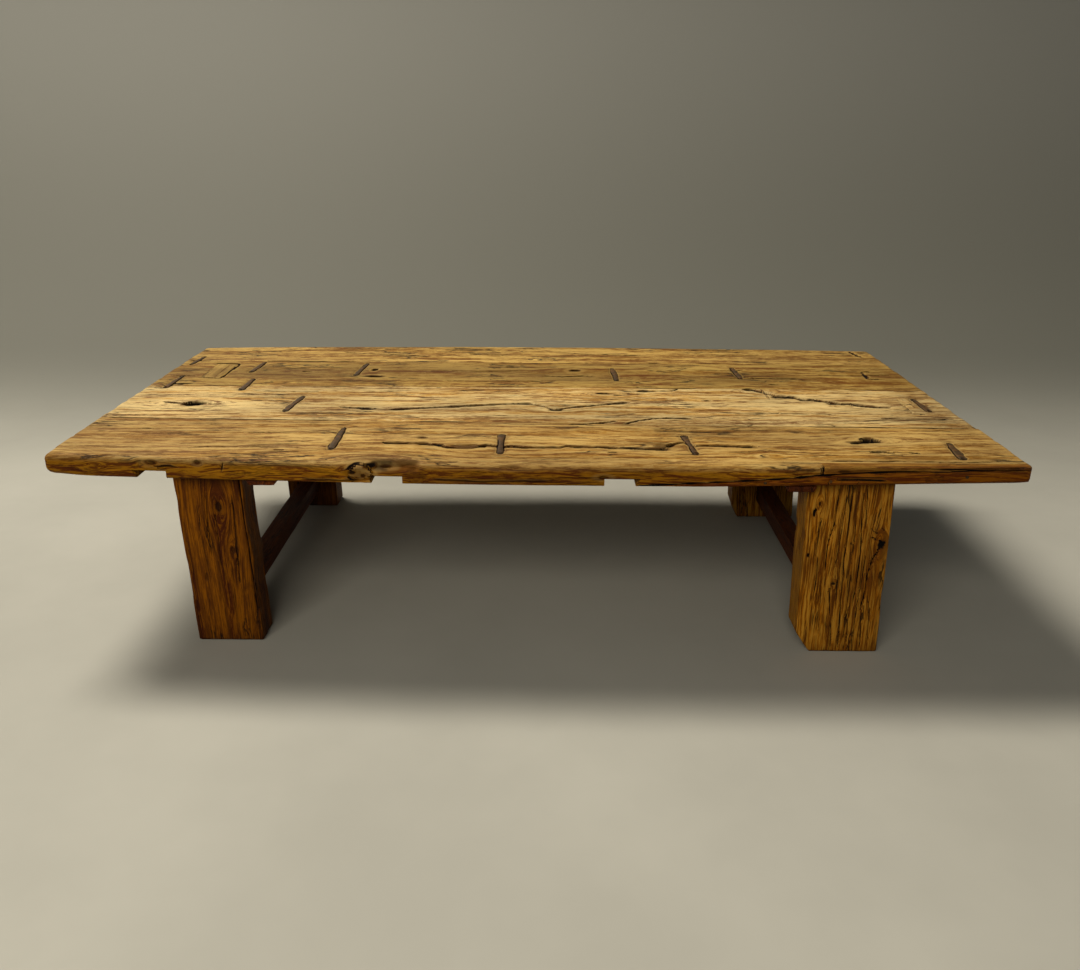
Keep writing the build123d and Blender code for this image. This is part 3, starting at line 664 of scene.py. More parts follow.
def face_surface(x, z, settings):
    """The worn front edge: how far behind the solid's it is, its nearest split and how dark that is."""
    flat = points_at(x, 0.0, z)
    broad = layered(flat, (3.0, 1, 26), 31, 3)
    ridges = layered(flat, (7, 1, 190), 34, 2)
    depth = 0.4 * MM + 1.7 * MM * broad + 0.6 * settings.relief * (1 - ridges)
    curl = layered(flat, (60, 1, 120), 37, 2) - 0.5
    from_x, from_z = x - BIG_KNOT_X, z - BIG_KNOT_Z
    around = np.hypot(from_x / (24 * MM), from_z / (16 * MM)) + 0.45 * curl
    depth += 3.0 * MM * bump_at(around - 1.0, 0.13)
    depth -= 0.5 * MM * bump_at(around, 1.0)
    depth += 2.2 * MM * np.abs(curl) * (around < 1)
    side = 0.55 + 0.45 * np.tanh((from_z - from_x) / (12 * MM))
    broken = smooth_step(0.30, 0.62, layered(flat, (55, 1, 70), 41, 2))
    ring = (np.zeros(len(x)), (around - 1.0) / (0.05 + 0.06 * side), (0.25 + 0.75 * side) * broken)
    hollow = eaten(x) * smooth_step(376 * MM, 388 * MM, z + 5 * MM * curl)
    torn = layered(flat, (42, 1, 110), 39, 3)
    depth += hollow * (7 * MM + 9 * MM * torn)
    lines = split_field(x, z, FACE_SPLITS, 160, sway=0.8, even=0.7)
    cut, off, dark = nearest(lines, pit_field(x, z, FACE_PITS, 190), ring)
    return depth + cut, off, dark


def end_surface(y, z, settings):
    """How far a worn end of the top lies inside the solid's end."""
    flat = points_at(0.0, y, z)
    rough = layered(flat, (1, 34, 60), 43, 3)
    chips = smooth_step(0.54, 0.66, layered(flat, (1, 26, 14), 47, 3))
    return 0.5 * MM + settings.relief * 2.6 * rough + 8.0 * MM * chips


# --------------------------------------------------------------------------------------------- mesh making
def deselect_all():
    """Leaves nothing selected."""
    if bpy.context.object and bpy.context.object.mode != "OBJECT":
        bpy.ops.object.mode_set(mode="OBJECT")
    bpy.ops.object.select_all(action="DESELECT")


def activate(piece):
    """Selects one object alone."""
    deselect_all()
    piece.select_set(True)
    bpy.context.view_layer.objects.active = piece


def clear_selection(piece, kind):
    """Readies a mesh so that its "edges" or "faces" can be selected in code."""
    activate(piece)
    bpy.context.tool_settings.mesh_select_mode = (False, kind == "edges", kind == "faces")
    bpy.ops.object.mode_set(mode="EDIT")
    bpy.ops.mesh.select_all(action="DESELECT")
    bpy.ops.object.mode_set(mode="OBJECT")


def unit_cube(name):
    """A cube from 0 to 1 along each axis, to be cut up and shaped."""
    deselect_all()
    bpy.ops.mesh.primitive_cube_add(size=1, location=(0.5, 0.5, 0.5))
    cube = bpy.context.object
    cube.name = cube.data.name = name
    bpy.ops.object.transform_apply(location=True, rotation=True, scale=True)
    return cube


def join_all(pieces):
    """Several pieces joined into the first of them."""
    deselect_all()
    for piece in pieces:
        piece.select_set(True)
    bpy.context.view_layer.objects.active = pieces[0]
    bpy.ops.object.join()
    return pieces[0]


def places(piece):
    """The vertices of a mesh as an array."""
    points = np.empty(len(piece.data.vertices) * 3)
    piece.data.vertices.foreach_get("co", points)
    return points.reshape(-1, 3)


def place(piece, points):
    """Moves the vertices of a mesh to the given points."""
    piece.data.vertices.foreach_set("co", np.ascontiguousarray(points, np.float32).ravel())
    piece.data.update()


def cut_evenly(piece, axis, cuts, keep=None):
    """Cuts every edge along an axis, over and over, into so many parts each time."""
    for parts in cuts:
        points = places(piece)
        ends = np.empty(len(piece.data.edges) * 2, np.int32)
        piece.data.edges.foreach_get("vertices", ends)
        ends = ends.reshape(-1, 2)
        run = np.abs(points[ends[:, 0]] - points[ends[:, 1]])
        chosen = (run.argmax(axis=1) == axis) & (run.max(axis=1) > 1e-6)
        if keep is not None:
            chosen &= keep((points[ends[:, 0]] + points[ends[:, 1]]) / 2)
        clear_selection(piece, "edges")
        piece.data.edges.foreach_set("select", chosen)
        bpy.ops.object.mode_set(mode="EDIT")
        bpy.ops.mesh.subdivide(number_cuts=parts - 1)
        bpy.ops.object.mode_set(mode="OBJECT")


def grid_block(name, along_x, along_y, along_z, bare_underside=False):
    """A cube from 0 to 1 with an even grid of cuts on its faces, and each vertex's step along each axis."""
    piece = unit_cube(name)
    cut_evenly(piece, 0, along_x)
    cut_evenly(piece, 2, along_z)
    not_beneath = None
    if bare_underside:
        def not_beneath(middle):
            return (middle[:, 2] > 1e-4) | (middle[:, 0] < 1e-4) | (middle[:, 0] > 1 - 1e-4)
    cut_evenly(piece, 1, along_y, not_beneath)
    counts = np.array([np.prod(cuts) for cuts in (along_x, along_y, along_z)])
    return piece, np.rint(places(piece) * counts).astype(int), counts


def combine(piece, other, operation):
    """A boolean of one mesh with another, which is then removed."""
    activate(piece)
    trim = piece.modifiers.new("Solid", "BOOLEAN")
    trim.operation = operation
    trim.solver = "EXACT"
    trim.object = other
    bpy.ops.object.modifier_apply(modifier=trim.name)
    bpy.data.objects.remove(other)


def iron_filler(front, rear):
    """Blocks that fill a plank's pockets for the cramps, whose wood is carved round the iron instead."""
    blocks = []
    for bar in BARS:
        x, y = bar["middle"]
        near_y = FRONT_Y if front is None else joint_y(front, x) + 1.4 * MM
        far_y = REAR_Y if rear is None else joint_y(rear, x) - 1.4 * MM
        half = bar["length"] / 2 + 0.5 * MM
        start = max((near_y - y) / bar["axis"][1], -half)
        end = min((far_y - y) / bar["axis"][1], half)
        if end - start < 4 * MM:
            continue
        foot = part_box(bar["name"])[0].z - 1 * MM
        block = unit_cube("Filler")
        part = places(block)
        aside = (part[:, :1] - 0.5) * (bar["width"] + 1 * MM)
        along = start + part[:, 1:2] * (end - start)
        flat = aside * bar["side"] + along * bar["axis"] + bar["middle"]
        place(block, np.column_stack((flat, foot + part[:, 2] * (TOP_Z + 2 * MM - foot))))
        blocks.append(block)
    return join_all(blocks)


def keep_inside(piece, node, joints=None):
    """Cuts a carved block down to a node's solid, so that it keeps the recesses of the solid."""
    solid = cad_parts[node].copy()
    solid.data = solid.data.copy()
    bpy.context.scene.collection.objects.link(solid)
    activate(solid)
    bpy.ops.object.mode_set(mode="EDIT")
    bpy.ops.mesh.select_all(action="SELECT")
    bpy.ops.mesh.remove_doubles(threshold=1e-6)
    bpy.ops.object.mode_set(mode="OBJECT")
    if joints:
        combine(solid, iron_filler(*joints), "UNION")
    combine(piece, solid, "INTERSECT")
    if len(piece.data.polygons) == 0:
        raise RuntimeError(node + " has no carved wood left")


def copy_of(piece, name):
    """A second block with its own mesh."""
    twin = piece.copy()
    twin.data = piece.data.copy()
    twin.name = twin.data.name = name
    bpy.context.scene.collection.objects.link(twin)
    return twin


def smooth(piece, angle):
    """Smooth shading, with edges sharper than an angle left sharp."""
    activate(piece)
    bpy.ops.object.shade_smooth()
    bpy.ops.object.shade_smooth_by_angle(angle=math.radians(angle))


def store(piece, name, values):
    """Keeps a value for each vertex: a vector or a colour."""
    kind, key = ("FLOAT_VECTOR", "vector") if values.shape[1] == 3 else ("FLOAT_COLOR", "color")
    layer = piece.data.attributes.get(name) or piece.data.attributes.new(name, kind, "POINT")
    layer.data.foreach_set(key, np.ascontiguousarray(values, np.float32).ravel())


def settle(piece, nodes, material, body="root"):
    """Gives a piece its finish, hangs it on the frame and hides the nodes that it stands for."""
    piece.data.materials.clear()
    piece.data.materials.append(material)
    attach(piece, body)
    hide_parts(*nodes)


# --------------------------------------------------------------------------------------- the top's planks
EDGE_ROWS = {"lower": 4, "flat": 9, "upper": 6}
# How much the upper front arris is worn, along X: (X in metres, share of its usual size).
ARRIS_WEAR = ((-0.90, 0.9), (-0.60, 0.65), (-0.42, 0.8), (-0.30, 1.2), (0.0, 1.2), (0.35, 1.0), (0.50, 0.7),
              (0.60, 0.35), (0.90, 0.45))
FACE_DEPTH = (16 * MM, 26 * MM)      # how far behind an edge its look begins to fade, and is gone
JOINT_SPARE = 1.2 * MM               # a plank's block reaches this far past its joints, to be trimmed
UNDER_SPARE = 0.6 * MM               # and this far below its underside


def round_corners(x, y, inset, edges):
    """Rounds the corners of a block, in place, at each outer edge: its Y, and 1 or -1 for the way inward."""
    for edge, inward in edges:
        for end in (-1, 1):
            radius = np.maximum(CORNER_RADIUS - 0.5 * inset, 4 * MM)
            from_end = (HALF_LENGTH - inset - end * x) / radius
            from_edge = (y - edge) * inward / radius
            corner = (from_end < 1) & (from_edge < 1)
            u, v = 1 - from_end[corner], 1 - from_edge[corner]
            pull = np.maximum(u, v) / np.maximum(np.hypot(u, v), 1e-9)
            x[corner] = end * (HALF_LENGTH - inset[corner] - radius[corner] * (1 - u * pull))
            y[corner] = edge[corner] + inward * radius[corner] * (1 - v * pull)


def top_block(name, front, rear, settings):
    """A carved block for one plank: worn wherever the plank is seen, and a little too wide at its joints."""
    rows = sum(EDGE_ROWS.values())
    block, step, counts = grid_block(name, (5, 104), (2, 61), (rows,), bare_underside=True)
    i, j, k = step.T
    part_x, part_y = i / counts[0], j / counts[1]
    rough_x = (part_x * 2 - 1) * HALF_LENGTH

    sway = points_at(rough_x, part_y * 0.3)
    worn_most = np.interp(rough_x, *np.array(ARRIS_WEAR).T) if front is None else 0.8
    wear = worn_most * (0.8 + 0.45 * layered(sway, (5, 3, 1), 71, 2))
    drop, run = settings.arris_drop * wear, settings.arris_run * wear
    from_left, from_right = rough_x + HALF_LENGTH, HALF_LENGTH - rough_x
    lower = settings.lower_arris * (0.7 + 0.6 * layered(sway, (9, 3, 1), 75, 2))
    lower += 10 * MM * bump_at(from_left, 60 * MM) + 13 * MM * bump_at(from_right, 55 * MM)

    turn_low = np.clip(k / EDGE_ROWS["lower"], 0, 1) * math.pi / 2
    first_upper = EDGE_ROWS["lower"] + EDGE_ROWS["flat"]
    turn_high = np.clip((k - first_upper) / EDGE_ROWS["upper"], 0, 1) * math.pi / 2
    level = np.clip((k - EDGE_ROWS["lower"]) / EDGE_ROWS["flat"], 0, 1)
    inset = lower * (1 - np.sin(turn_low)) + run * (1 - np.cos(turn_high))
    low_z = UNDERSIDE_Z - UNDER_SPARE
    z = low_z + lower * (1 - np.cos(turn_low))
    z += level * (TOP_Z - low_z - lower - drop) + drop * np.sin(turn_high)

    x = -HALF_LENGTH + inset + part_x * 2 * (HALF_LENGTH - inset)
    near_y = front_y(x) + inset if front is None else joint_y(front, x) - JOINT_SPARE
    far_y = rear_y(x) - inset if rear is None else joint_y(rear, x) + JOINT_SPARE
    y = near_y + part_y * (far_y - near_y)
    edges = ((front, near_y, 1), (rear, far_y, -1))
    round_corners(x, y, inset, [(edge, inward) for joint, edge, inward in edges if joint is None])

    on_top = k == counts[2]
    lean = np.where(on_top, 1.0, np.sin(turn_high)) - np.where(on_top, 0.0, np.cos(turn_low))
    out_x = (i == counts[0]).astype(float) - (i == 0)
    out_y = (j == counts[1]) * float(rear is None) - (j == 0) * float(front is None)
    out_x, out_y = np.where(on_top, 0, out_x), np.where(on_top, 0, out_y)
    flatness = np.sqrt(np.clip(1 - lean**2, 0, 1))
    normal = np.column_stack((out_x * flatness, out_y * flatness, lean))
    normal /= np.maximum(np.linalg.norm(normal, axis=1), 1e-9)[:, None]

    top_depth = top_surface(x, y, settings)[0]
    if front is None:
        side_depth = face_surface(x, z, settings)[0]
    else:
        side_depth = 0.4 * MM + 1.3 * MM * layered(points_at(x, y, z), (4, 1, 30), 51, 3)
    end_depth = end_surface(y, z, settings)
    side_depth = np.where(np.abs(out_x) > 0, np.where(np.abs(out_y) > 0, side_depth, end_depth), side_depth)
    up = np.clip(lean, 0, 1) ** 2
    depth = np.where(on_top, top_depth, up * top_depth + (1 - up) * side_depth)
    place(block, points_at(x, y, z) - normal * depth[:, None])
    return block


def bent_grain(points):
    """The top's points shifted across the grain, so that straight grain there bends round knots here."""
    shift = points.copy()
    near_top = smooth_step(UNDERSIDE_Z, TOP_Z - 10 * MM, points[:, 2])
    for x, y, radius, _ in TOP_KNOTS:
        radius = radius * MM
        dx, dy = points[:, 0] - x * MM, points[:, 1] - y * MM
        pull = radius**2 / ((dx / 2.4) ** 2 + dy**2 + 0.45 * radius**2)
        shift[:, 1] -= dy * np.minimum(pull, 1.6) * near_top
    for x, z, half_length, half_height, _ in FACE_KNOTS:
        dx, dz = points[:, 0] - x * MM, points[:, 2] - z * MM
        pull = 1 / ((dx / (half_length * MM)) ** 2 + (dz / (half_height * MM)) ** 2 + 0.4)
        near = bump_at(points[:, 1] - front_y(points[:, 0]), 25 * MM)
        shift[:, 2] -= dz * np.minimum(pull, 2.1) * near
    flat = points_at(points[:, 0], points[:, 1])
    shift[:, 1] += 9 * MM * (layered(flat, (2.4, 7, 1), 25, 2) - 0.5)
    behind = points[:, 1] - front_y(points[:, 0])
    figure = 6 * MM + 16 * MM * (1 - smooth_step(10 * MM, 40 * MM, behind))
    shift[:, 2] += figure * (layered(points, (5.5, 6, 16), 28, 2) - 0.5)
    return shift


def top_marks(points, settings):
    """For each vertex of the top: knot, painted shade in recesses, rubbing, stain and shade, and its nearest
    split.
    """
    x, y, z = points.T
    worn, top_off, top_dark = top_surface(x, y, settings)
    _, face_off, face_dark = face_surface(x, z, settings)
    behind = y - front_y(x)
    on_top = smooth_step(TOP_Z - 16 * MM, TOP_Z - 6 * MM, z + worn) * smooth_step(3 * MM, 8 * MM, behind)
    on_face = (1 - smooth_step(*FACE_DEPTH, behind)) * (1 - smooth_step(TOP_Z - 4 * MM, TOP_Z - 1 * MM, z))
    _, off, dark = nearest((worn, np.abs(top_off), top_dark * on_top), (worn, face_off, face_dark * on_face))
    dark = dark * (1 - smooth_step(4.0, 6.5, np.abs(off)))
    edge = np.minimum(HALF_LENGTH - np.abs(x), behind)
    rear_edge = np.minimum(HALF_LENGTH - np.abs(x), rear_y(x) - y)

    # Painted shade: wood lying well below the worn top, in slots, holes, pockets and joints, is drawn
    # near-black.
    recess_shade = smooth_step(1.2 * MM, 3.5 * MM, TOP_Z - z - worn) * smooth_step(20 * MM, 26 * MM, behind)
    recess_shade *= smooth_step(UNDERSIDE_Z + 2 * MM, UNDERSIDE_Z + 4 * MM, z)
    recess_shade *= smooth_step(12 * MM, 16 * MM, rear_edge)
    blotches = smooth_step(0.35, 0.65, layered(points_at(x, y, z), (48, 60, 90), 57, 3))
    # The eaten hollow over the empty slot is darkened as painted shade: blotches of the near-black recess
    # shade, and the knots' colour.
    hollow = eaten(x) * smooth_step(26 * MM, 16 * MM, behind) * smooth_step(372 * MM, 384 * MM, z)
    recess_shade = np.maximum(recess_shade, (0.05 + 0.16 * blotches) * hollow)

    knots = [(kx, ky, 1.3 * radius, 0.7 * radius, strength) for kx, ky, radius, strength in TOP_KNOTS]
    knot = np.maximum(spots(x, y, knots, 0.3, 1.3).max(0) * on_top,
                      spots(x, z, FACE_KNOTS, 0.4, 1.3).max(0) * on_face)
    # The eaten hollow, which holds no knot, takes the knots' dark colour as painted shade.
    knot = np.maximum(knot, 0.95 * hollow)

    ragged = layered(points_at(x, y), (9, 34, 1), 55, 3) - 0.5
    stain_and_shade = spots(x, y, TOP_STAINS, 0.25, 1.25, ragged * 0.9).sum(0) * on_top
    stain_and_shade += 0.5 * bump_at(np.maximum(bar_distance(x, y), 0), 6 * MM) * on_top
    stain_and_shade += 0.35 * smooth_step(0.5, 0.95, worn / (3.2 * MM)) * on_top
    # Painted shade: the front face and its rounded arris are darkened, as they take less light than the top.
    stain_and_shade += 0.55 * (1 - smooth_step(1.0 * MM, 12 * MM, behind)) * (0.7 + ragged)
    stain_and_shade += spots(x, z, FACE_STAINS, 0.4, 1.2, ragged * 0.6).sum(0) * (behind < 26 * MM)

    rub = bump_at(edge - 16 * MM, 14 * MM) * on_top * (0.35 + ragged)
    rub += 0.8 * smooth_step(0.9 * MM, 0.3 * MM, worn)
    marks = np.column_stack((recess_shade, knot, np.clip(rub, 0, 1), np.clip(stain_and_shade, 0, 1)))
    # The outer faces near the rim: finer figure, and colour multiplied by the edge tone as painted shade.
    rim = np.minimum(edge, rear_edge)
    side = (1 - smooth_step(*FACE_DEPTH, rim)) * (1 - smooth_step(TOP_Z - 16 * MM, TOP_Z - 3 * MM, z))
    return marks, np.column_stack((off, dark, side))


def finish_top_piece(piece, node, material, settings, joints=None, crosswise=False):
    """Trims a carved block to its solid, shades it and stores what its material reads."""
    keep_inside(piece, node, joints)
    smooth(piece, 42)
    points = places(piece)
    grain = bent_grain(points)
    if crosswise:
        grain = grain[:, (1, 0, 2)]
    marks, split = top_marks(points, settings)
    store(piece, "grain", grain)
    store(piece, "marks", marks)
    store(piece, "split", split)
    settle(piece, (node,), material)


# ------------------------------------------------------------------------------------------- shader nodes
WOOD_BUMP = 1.3 * MM        # height of the fine relief of old wood
WOOD_GLOSS = 0.12
# What the figure of a board tells the colouring of old wood.
FIGURE = ("Late Wood", "Fibre", "Fine", "Pores", "Bands", "Streaks", "Checks", "Clouds")


class Tree:
    """Adds nodes to a tree and joins them, so that a material reads as a list of steps."""

    def __init__(self, tree):
        self.tree = tree

    def add(self, kind, inputs=None, **settings):
        """A node with its settings, and its inputs as links or plain values."""
        node = self.tree.nodes.new(kind)
        for name, value in settings.items():
            setattr(node, name, value)
        for key, value in (inputs or {}).items():
            self.feed(node.inputs[key], value)
        return node

    def feed(self, socket, value):
        """Links a socket, or sets its value."""
        if isinstance(value, bpy.types.NodeSocket):
            self.tree.links.new(value, socket)
        else:
            socket.default_value = value

    def math(self, operation, *values, clamp=False):
        """A Math node's result."""
        node = self.add("ShaderNodeMath", dict(enumerate(values)), operation=operation, use_clamp=clamp)
        return node.outputs[0]

    def times(self, value, *others):
        """Values multiplied."""
        for other in others:
            value = self.math("MULTIPLY", value, other)
        return value

    def vector(self, operation, *values):
        """A Vector Math node's vector."""
        return self.add("ShaderNodeVectorMath", dict(enumerate(values)), operation=operation).outputs[0]

    def noise(self, vector, scale=1.0, detail=2.0, rough=0.5, bend=0.0):
        """A Noise Texture's level."""
        inputs = {"Vector": vector, "Scale": scale, "Detail": detail, "Roughness": rough, "Distortion": bend}
        return self.add("ShaderNodeTexNoise", inputs).outputs[0]

    def rise(self, value, low, high, to_low=0.0, to_high=1.0):
        """A smooth rise from one level to another."""
        inputs = {"Value": value, "From Min": low, "From Max": high, "To Min": to_low, "To Max": to_high}
        return self.add("ShaderNodeMapRange", inputs, interpolation_type="SMOOTHSTEP").outputs[0]

    def mix(self, share, low, high, blend="MIX"):
        """Two colours mixed."""
        node = self.add("ShaderNodeMix", {0: share, 6: low, 7: high}, data_type="RGBA", blend_type=blend)
        return node.outputs[2]


def seen_rays(nodes):
    """1 for rays from the camera, a gloss or glass, and 0 for light that bounces on."""
    path = nodes.add("ShaderNodeLightPath")
    seen = nodes.math("MAXIMUM", path.outputs["Is Camera Ray"], path.outputs["Is Glossy Ray"])
    return nodes.math("MAXIMUM", seen, path.outputs["Is Transmission Ray"])


def new_material(name):
    """A material, its nodes and its Principled shader."""
    material = bpy.data.materials.new(name)
    material.use_nodes = True
    return material, Tree(material.node_tree), material.node_tree.nodes["Principled BSDF"]


def new_group(name, inputs, outputs):
    """An empty node group with named inputs and outputs."""
    group = bpy.data.node_groups.new(name, "ShaderNodeTree")
    for label, kind, value in inputs:
        socket = group.interface.new_socket(label, in_out="INPUT", socket_type="NodeSocket" + kind)
        if value is not None:
            socket.default_value = value
    for label, kind in outputs:
        group.interface.new_socket(label, in_out="OUTPUT", socket_type="NodeSocket" + kind)
    nodes = Tree(group)
    start = nodes.add("NodeGroupInput")
    end = nodes.add("NodeGroupOutput")
    return group, nodes, start.outputs, end.inputs


def wood_figure_group():
    """Rings, fibres, pores and bands of a board whose length is along the first axis of its grain."""
    group, nodes, given, out = new_group(
        "Wood Figure",
        (("Grain", "Vector", None), ("Pith", "Vector", (0, 0, 0)), ("Ring Width", "Float", 0.006),
         ("Seed", "Float", 0.0)),
        [(label, "Float") for label in (*FIGURE, "Height")],
    )
    offset = nodes.add("ShaderNodeCombineXYZ", dict.fromkeys(range(3), given["Seed"])).outputs[0]
    grain = nodes.vector("ADD", given["Grain"], offset)

    def streaky(along, across, detail=2.0, rough=0.5, bend=0.0):
        """Noise with so many cells to a metre along the grain and across it."""
        cells = nodes.vector("MULTIPLY", grain, (along, across, across))
        return nodes.noise(cells, detail=detail, rough=rough, bend=bend)

    wide = nodes.vector("MULTIPLY", grain, (1.3, 9.0, 9.0))
    wander = nodes.add("ShaderNodeTexNoise", {"Vector": wide, "Scale": 1.0, "Detail": 3.0}).outputs[1]
    wander = nodes.vector("MULTIPLY", nodes.vector("SUBTRACT", wander, (0.5, 0.5, 0.5)), (0.0, 0.030, 0.030))
    from_pith = nodes.vector("SUBTRACT", nodes.vector("ADD", given["Grain"], wander), given["Pith"])
    across = nodes.vector("MULTIPLY", from_pith, (0.0, 1.0, 1.0))
    radius = nodes.add("ShaderNodeVectorMath", {0: across}, operation="LENGTH").outputs[1]
    count = nodes.math("DIVIDE", radius, given["Ring Width"])
    uneven = nodes.add("ShaderNodeTexNoise", {"W": count, "Scale": 0.37, "Detail": 2.0},
                       noise_dimensions="1D").outputs[0]
    count = nodes.math("MULTIPLY_ADD", uneven, 2.6, count)
    part = nodes.math("FRACT", count)
    which = nodes.math("FLOOR", count)
    weight = nodes.add("ShaderNodeTexWhiteNoise", {"W": which}, noise_dimensions="1D").outputs[0]
    weight = nodes.math("MULTIPLY_ADD", weight, 0.75, 0.25)
    late = nodes.times(nodes.rise(part, 0.40, 0.90), nodes.rise(part, 1.0, 0.94), weight)

    thin = streaky(14.0, 430.0, 2.0, 0.7)
    fibre = nodes.math("MULTIPLY_ADD", streaky(40.0, 150.0, 4.0, 0.8), 0.30,
                       nodes.times(streaky(4.5, 58.0, 5.0, 0.8), 0.46))
    fibre = nodes.math("MULTIPLY_ADD", thin, 0.24, fibre)
    fine = nodes.math("MULTIPLY_ADD", streaky(11.0, 210.0, 4.0, 0.72), 0.65, nodes.times(thin, 0.35))
    pores = nodes.rise(streaky(38.0, 900.0, 2.0, 0.6), 0.60, 0.72)
    bands = streaky(1.8, 42.0, 4.0, 0.6, 0.4)
    clouds = streaky(2.5, 7.0, 3.0)
    streaks = nodes.rise(streaky(5.0, 80.0, 5.0, 0.76, 0.5), 0.54, 0.62)
    lines = nodes.math("ABSOLUTE", nodes.math("SUBTRACT", streaky(5.0, 44.0, 4.0, 0.66, 0.3), 0.5))
    checks = nodes.times(nodes.rise(lines, 0.022, 0.007), nodes.rise(streaky(7.0, 22.0), 0.52, 0.60))

    height = nodes.math("MULTIPLY_ADD", late, 0.35, nodes.times(fibre, 0.9))
    for relief, share in ((pores, -0.35), (bands, 0.4), (streaks, -0.6), (checks, -1.3)):
        height = nodes.math("MULTIPLY_ADD", relief, share, height)
    made = (late, fibre, fine, pores, bands, streaks, checks, clouds, height)
    for label, value in zip((*FIGURE, "Height"), made):
        nodes.feed(out[label], value)
    return group


def old_wood_group():
    """Colour, roughness and height of old waxed wood, from its figure and its marks, with painted shade and
    painted highlights.
    """
    group, nodes, given, out = new_group(
        "Old Wood",
        [(label, "Color", None) for label in ("Pale", "Body", "Line", "Shade", "Crevice")]
        + [("Tone", "Color", (1, 1, 1, 1)), ("Off", "Float", FAR), ("Line Strength", "Float", 0.7)]
        + [(label, "Float", 0.5) for label in ("Fibre", "Fine", "Bands", "Clouds")]
        + [(label, "Float", 1.0) for label in ("Fibre Strength", "Contrast")]
        + [(label, "Float", 0.0) for label in ("Late Wood", "Pores", "Streaks", "Checks", "Hole", "Knot",
                                               "Rubbed", "Stain", "Face", "Dark", "Fine Share", "Lip")],
        (("Color", "Color"), ("Roughness", "Float"), ("Height", "Float")),
    )
    bands = nodes.math("MULTIPLY", nodes.rise(given["Bands"], 0.36, 0.64), given["Contrast"], clamp=True)
    base = nodes.mix(bands, given["Body"], given["Pale"])
    line_strength = nodes.math("MULTIPLY_ADD", given["Face"], 0.35, given["Line Strength"])
    share = nodes.math("MAXIMUM", given["Face"], given["Fine Share"])
    finer = nodes.math("SUBTRACT", given["Fine"], given["Fibre"])
    shown = nodes.math("MULTIPLY_ADD", share, finer, given["Fibre"])
    away = nodes.times(nodes.math("SUBTRACT", shown, 0.5), share)
    shown = nodes.math("MULTIPLY_ADD", away, 0.7, shown)
    check_share = nodes.math("MULTIPLY_ADD", given["Face"], -0.6, 0.85)
    coats = (
        (nodes.math("MULTIPLY", given["Late Wood"], line_strength, clamp=True), "Line"),
        (nodes.times(given["Streaks"], nodes.math("MULTIPLY_ADD", given["Stain"], 0.35, 0.55)), "Line"),
        (nodes.times(nodes.rise(shown, 0.492, 0.432), given["Fibre Strength"], 0.88), "Line"),
        (nodes.times(nodes.rise(shown, 0.505, 0.552), given["Fibre Strength"]), "Pale"),
        (nodes.times(given["Pores"], 0.45), "Line"),
        (nodes.times(nodes.rise(given["Clouds"], 0.62, 0.36), 0.30), "Shade"),
        (nodes.times(given["Stain"], nodes.rise(given["Bands"], 0.75, 0.30, 0.55, 1.0), 0.75), "Shade"),
        (nodes.times(given["Knot"], 0.85), "Shade"),
        (nodes.times(given["Rubbed"], 0.35), "Pale"),
        # Fine checks of the figure are drawn in the crevice colour, as painted shade.
        (nodes.times(given["Checks"], check_share, nodes.rise(given["Knot"], 0.25, 0.05)), "Crevice"),
    )
    for mask, tone in coats:
        base = nodes.mix(mask, base, given[tone])
    # Painted shade: on the outer faces the colour is multiplied by the edge tone.
    base = nodes.mix(given["Face"], base, nodes.mix(1.0, base, given["Tone"], blend="MULTIPLY"))

    # The nearest split, pit, joint or cramp outline is drawn in the crevice colour, as painted shade; the rim
    # round it is stained and a chip is pale.
    off, dark = nodes.math("ABSOLUTE", given["Off"]), given["Dark"]
    chip = nodes.times(nodes.math("MULTIPLY", dark, -1.0, clamp=True), nodes.rise(off, 1.1, 0.8))
    rim = nodes.times(nodes.rise(off, 2.2, 0.8), nodes.math("MULTIPLY", dark, 0.45, clamp=True))
    # Painted highlight: a pale lip on one side of a split, where light would catch its torn edge.
    lip = nodes.times(nodes.rise(given["Off"], 3.4, 2.0), nodes.rise(given["Off"], 1.1, 1.5),
                      nodes.math("MULTIPLY", dark, given["Lip"], clamp=True))
    split = nodes.math("MULTIPLY", nodes.rise(off, 1.2, 0.8), nodes.rise(dark, 0.2, 0.7), clamp=True)
    split = nodes.math("MAXIMUM", split, nodes.rise(given["Hole"], 0.02, 0.30))
    for mask, tone in ((chip, "Pale"), (rim, "Shade"), (lip, "Pale"), (split, "Crevice")):
        base = nodes.mix(mask, base, given[tone])

    rough = nodes.rise(given["Rubbed"], 0.0, 1.0, 0.56, 0.44)
    rough = nodes.math("ADD", rough, nodes.times(nodes.math("MAXIMUM", split, given["Knot"]), 0.35))
    rough = nodes.math("ADD", rough, nodes.times(given["Fibre"], 0.12), clamp=True)
    nodes.feed(out["Color"], base)
    nodes.feed(out["Roughness"], rough)
    nodes.feed(out["Height"], split)
    return group


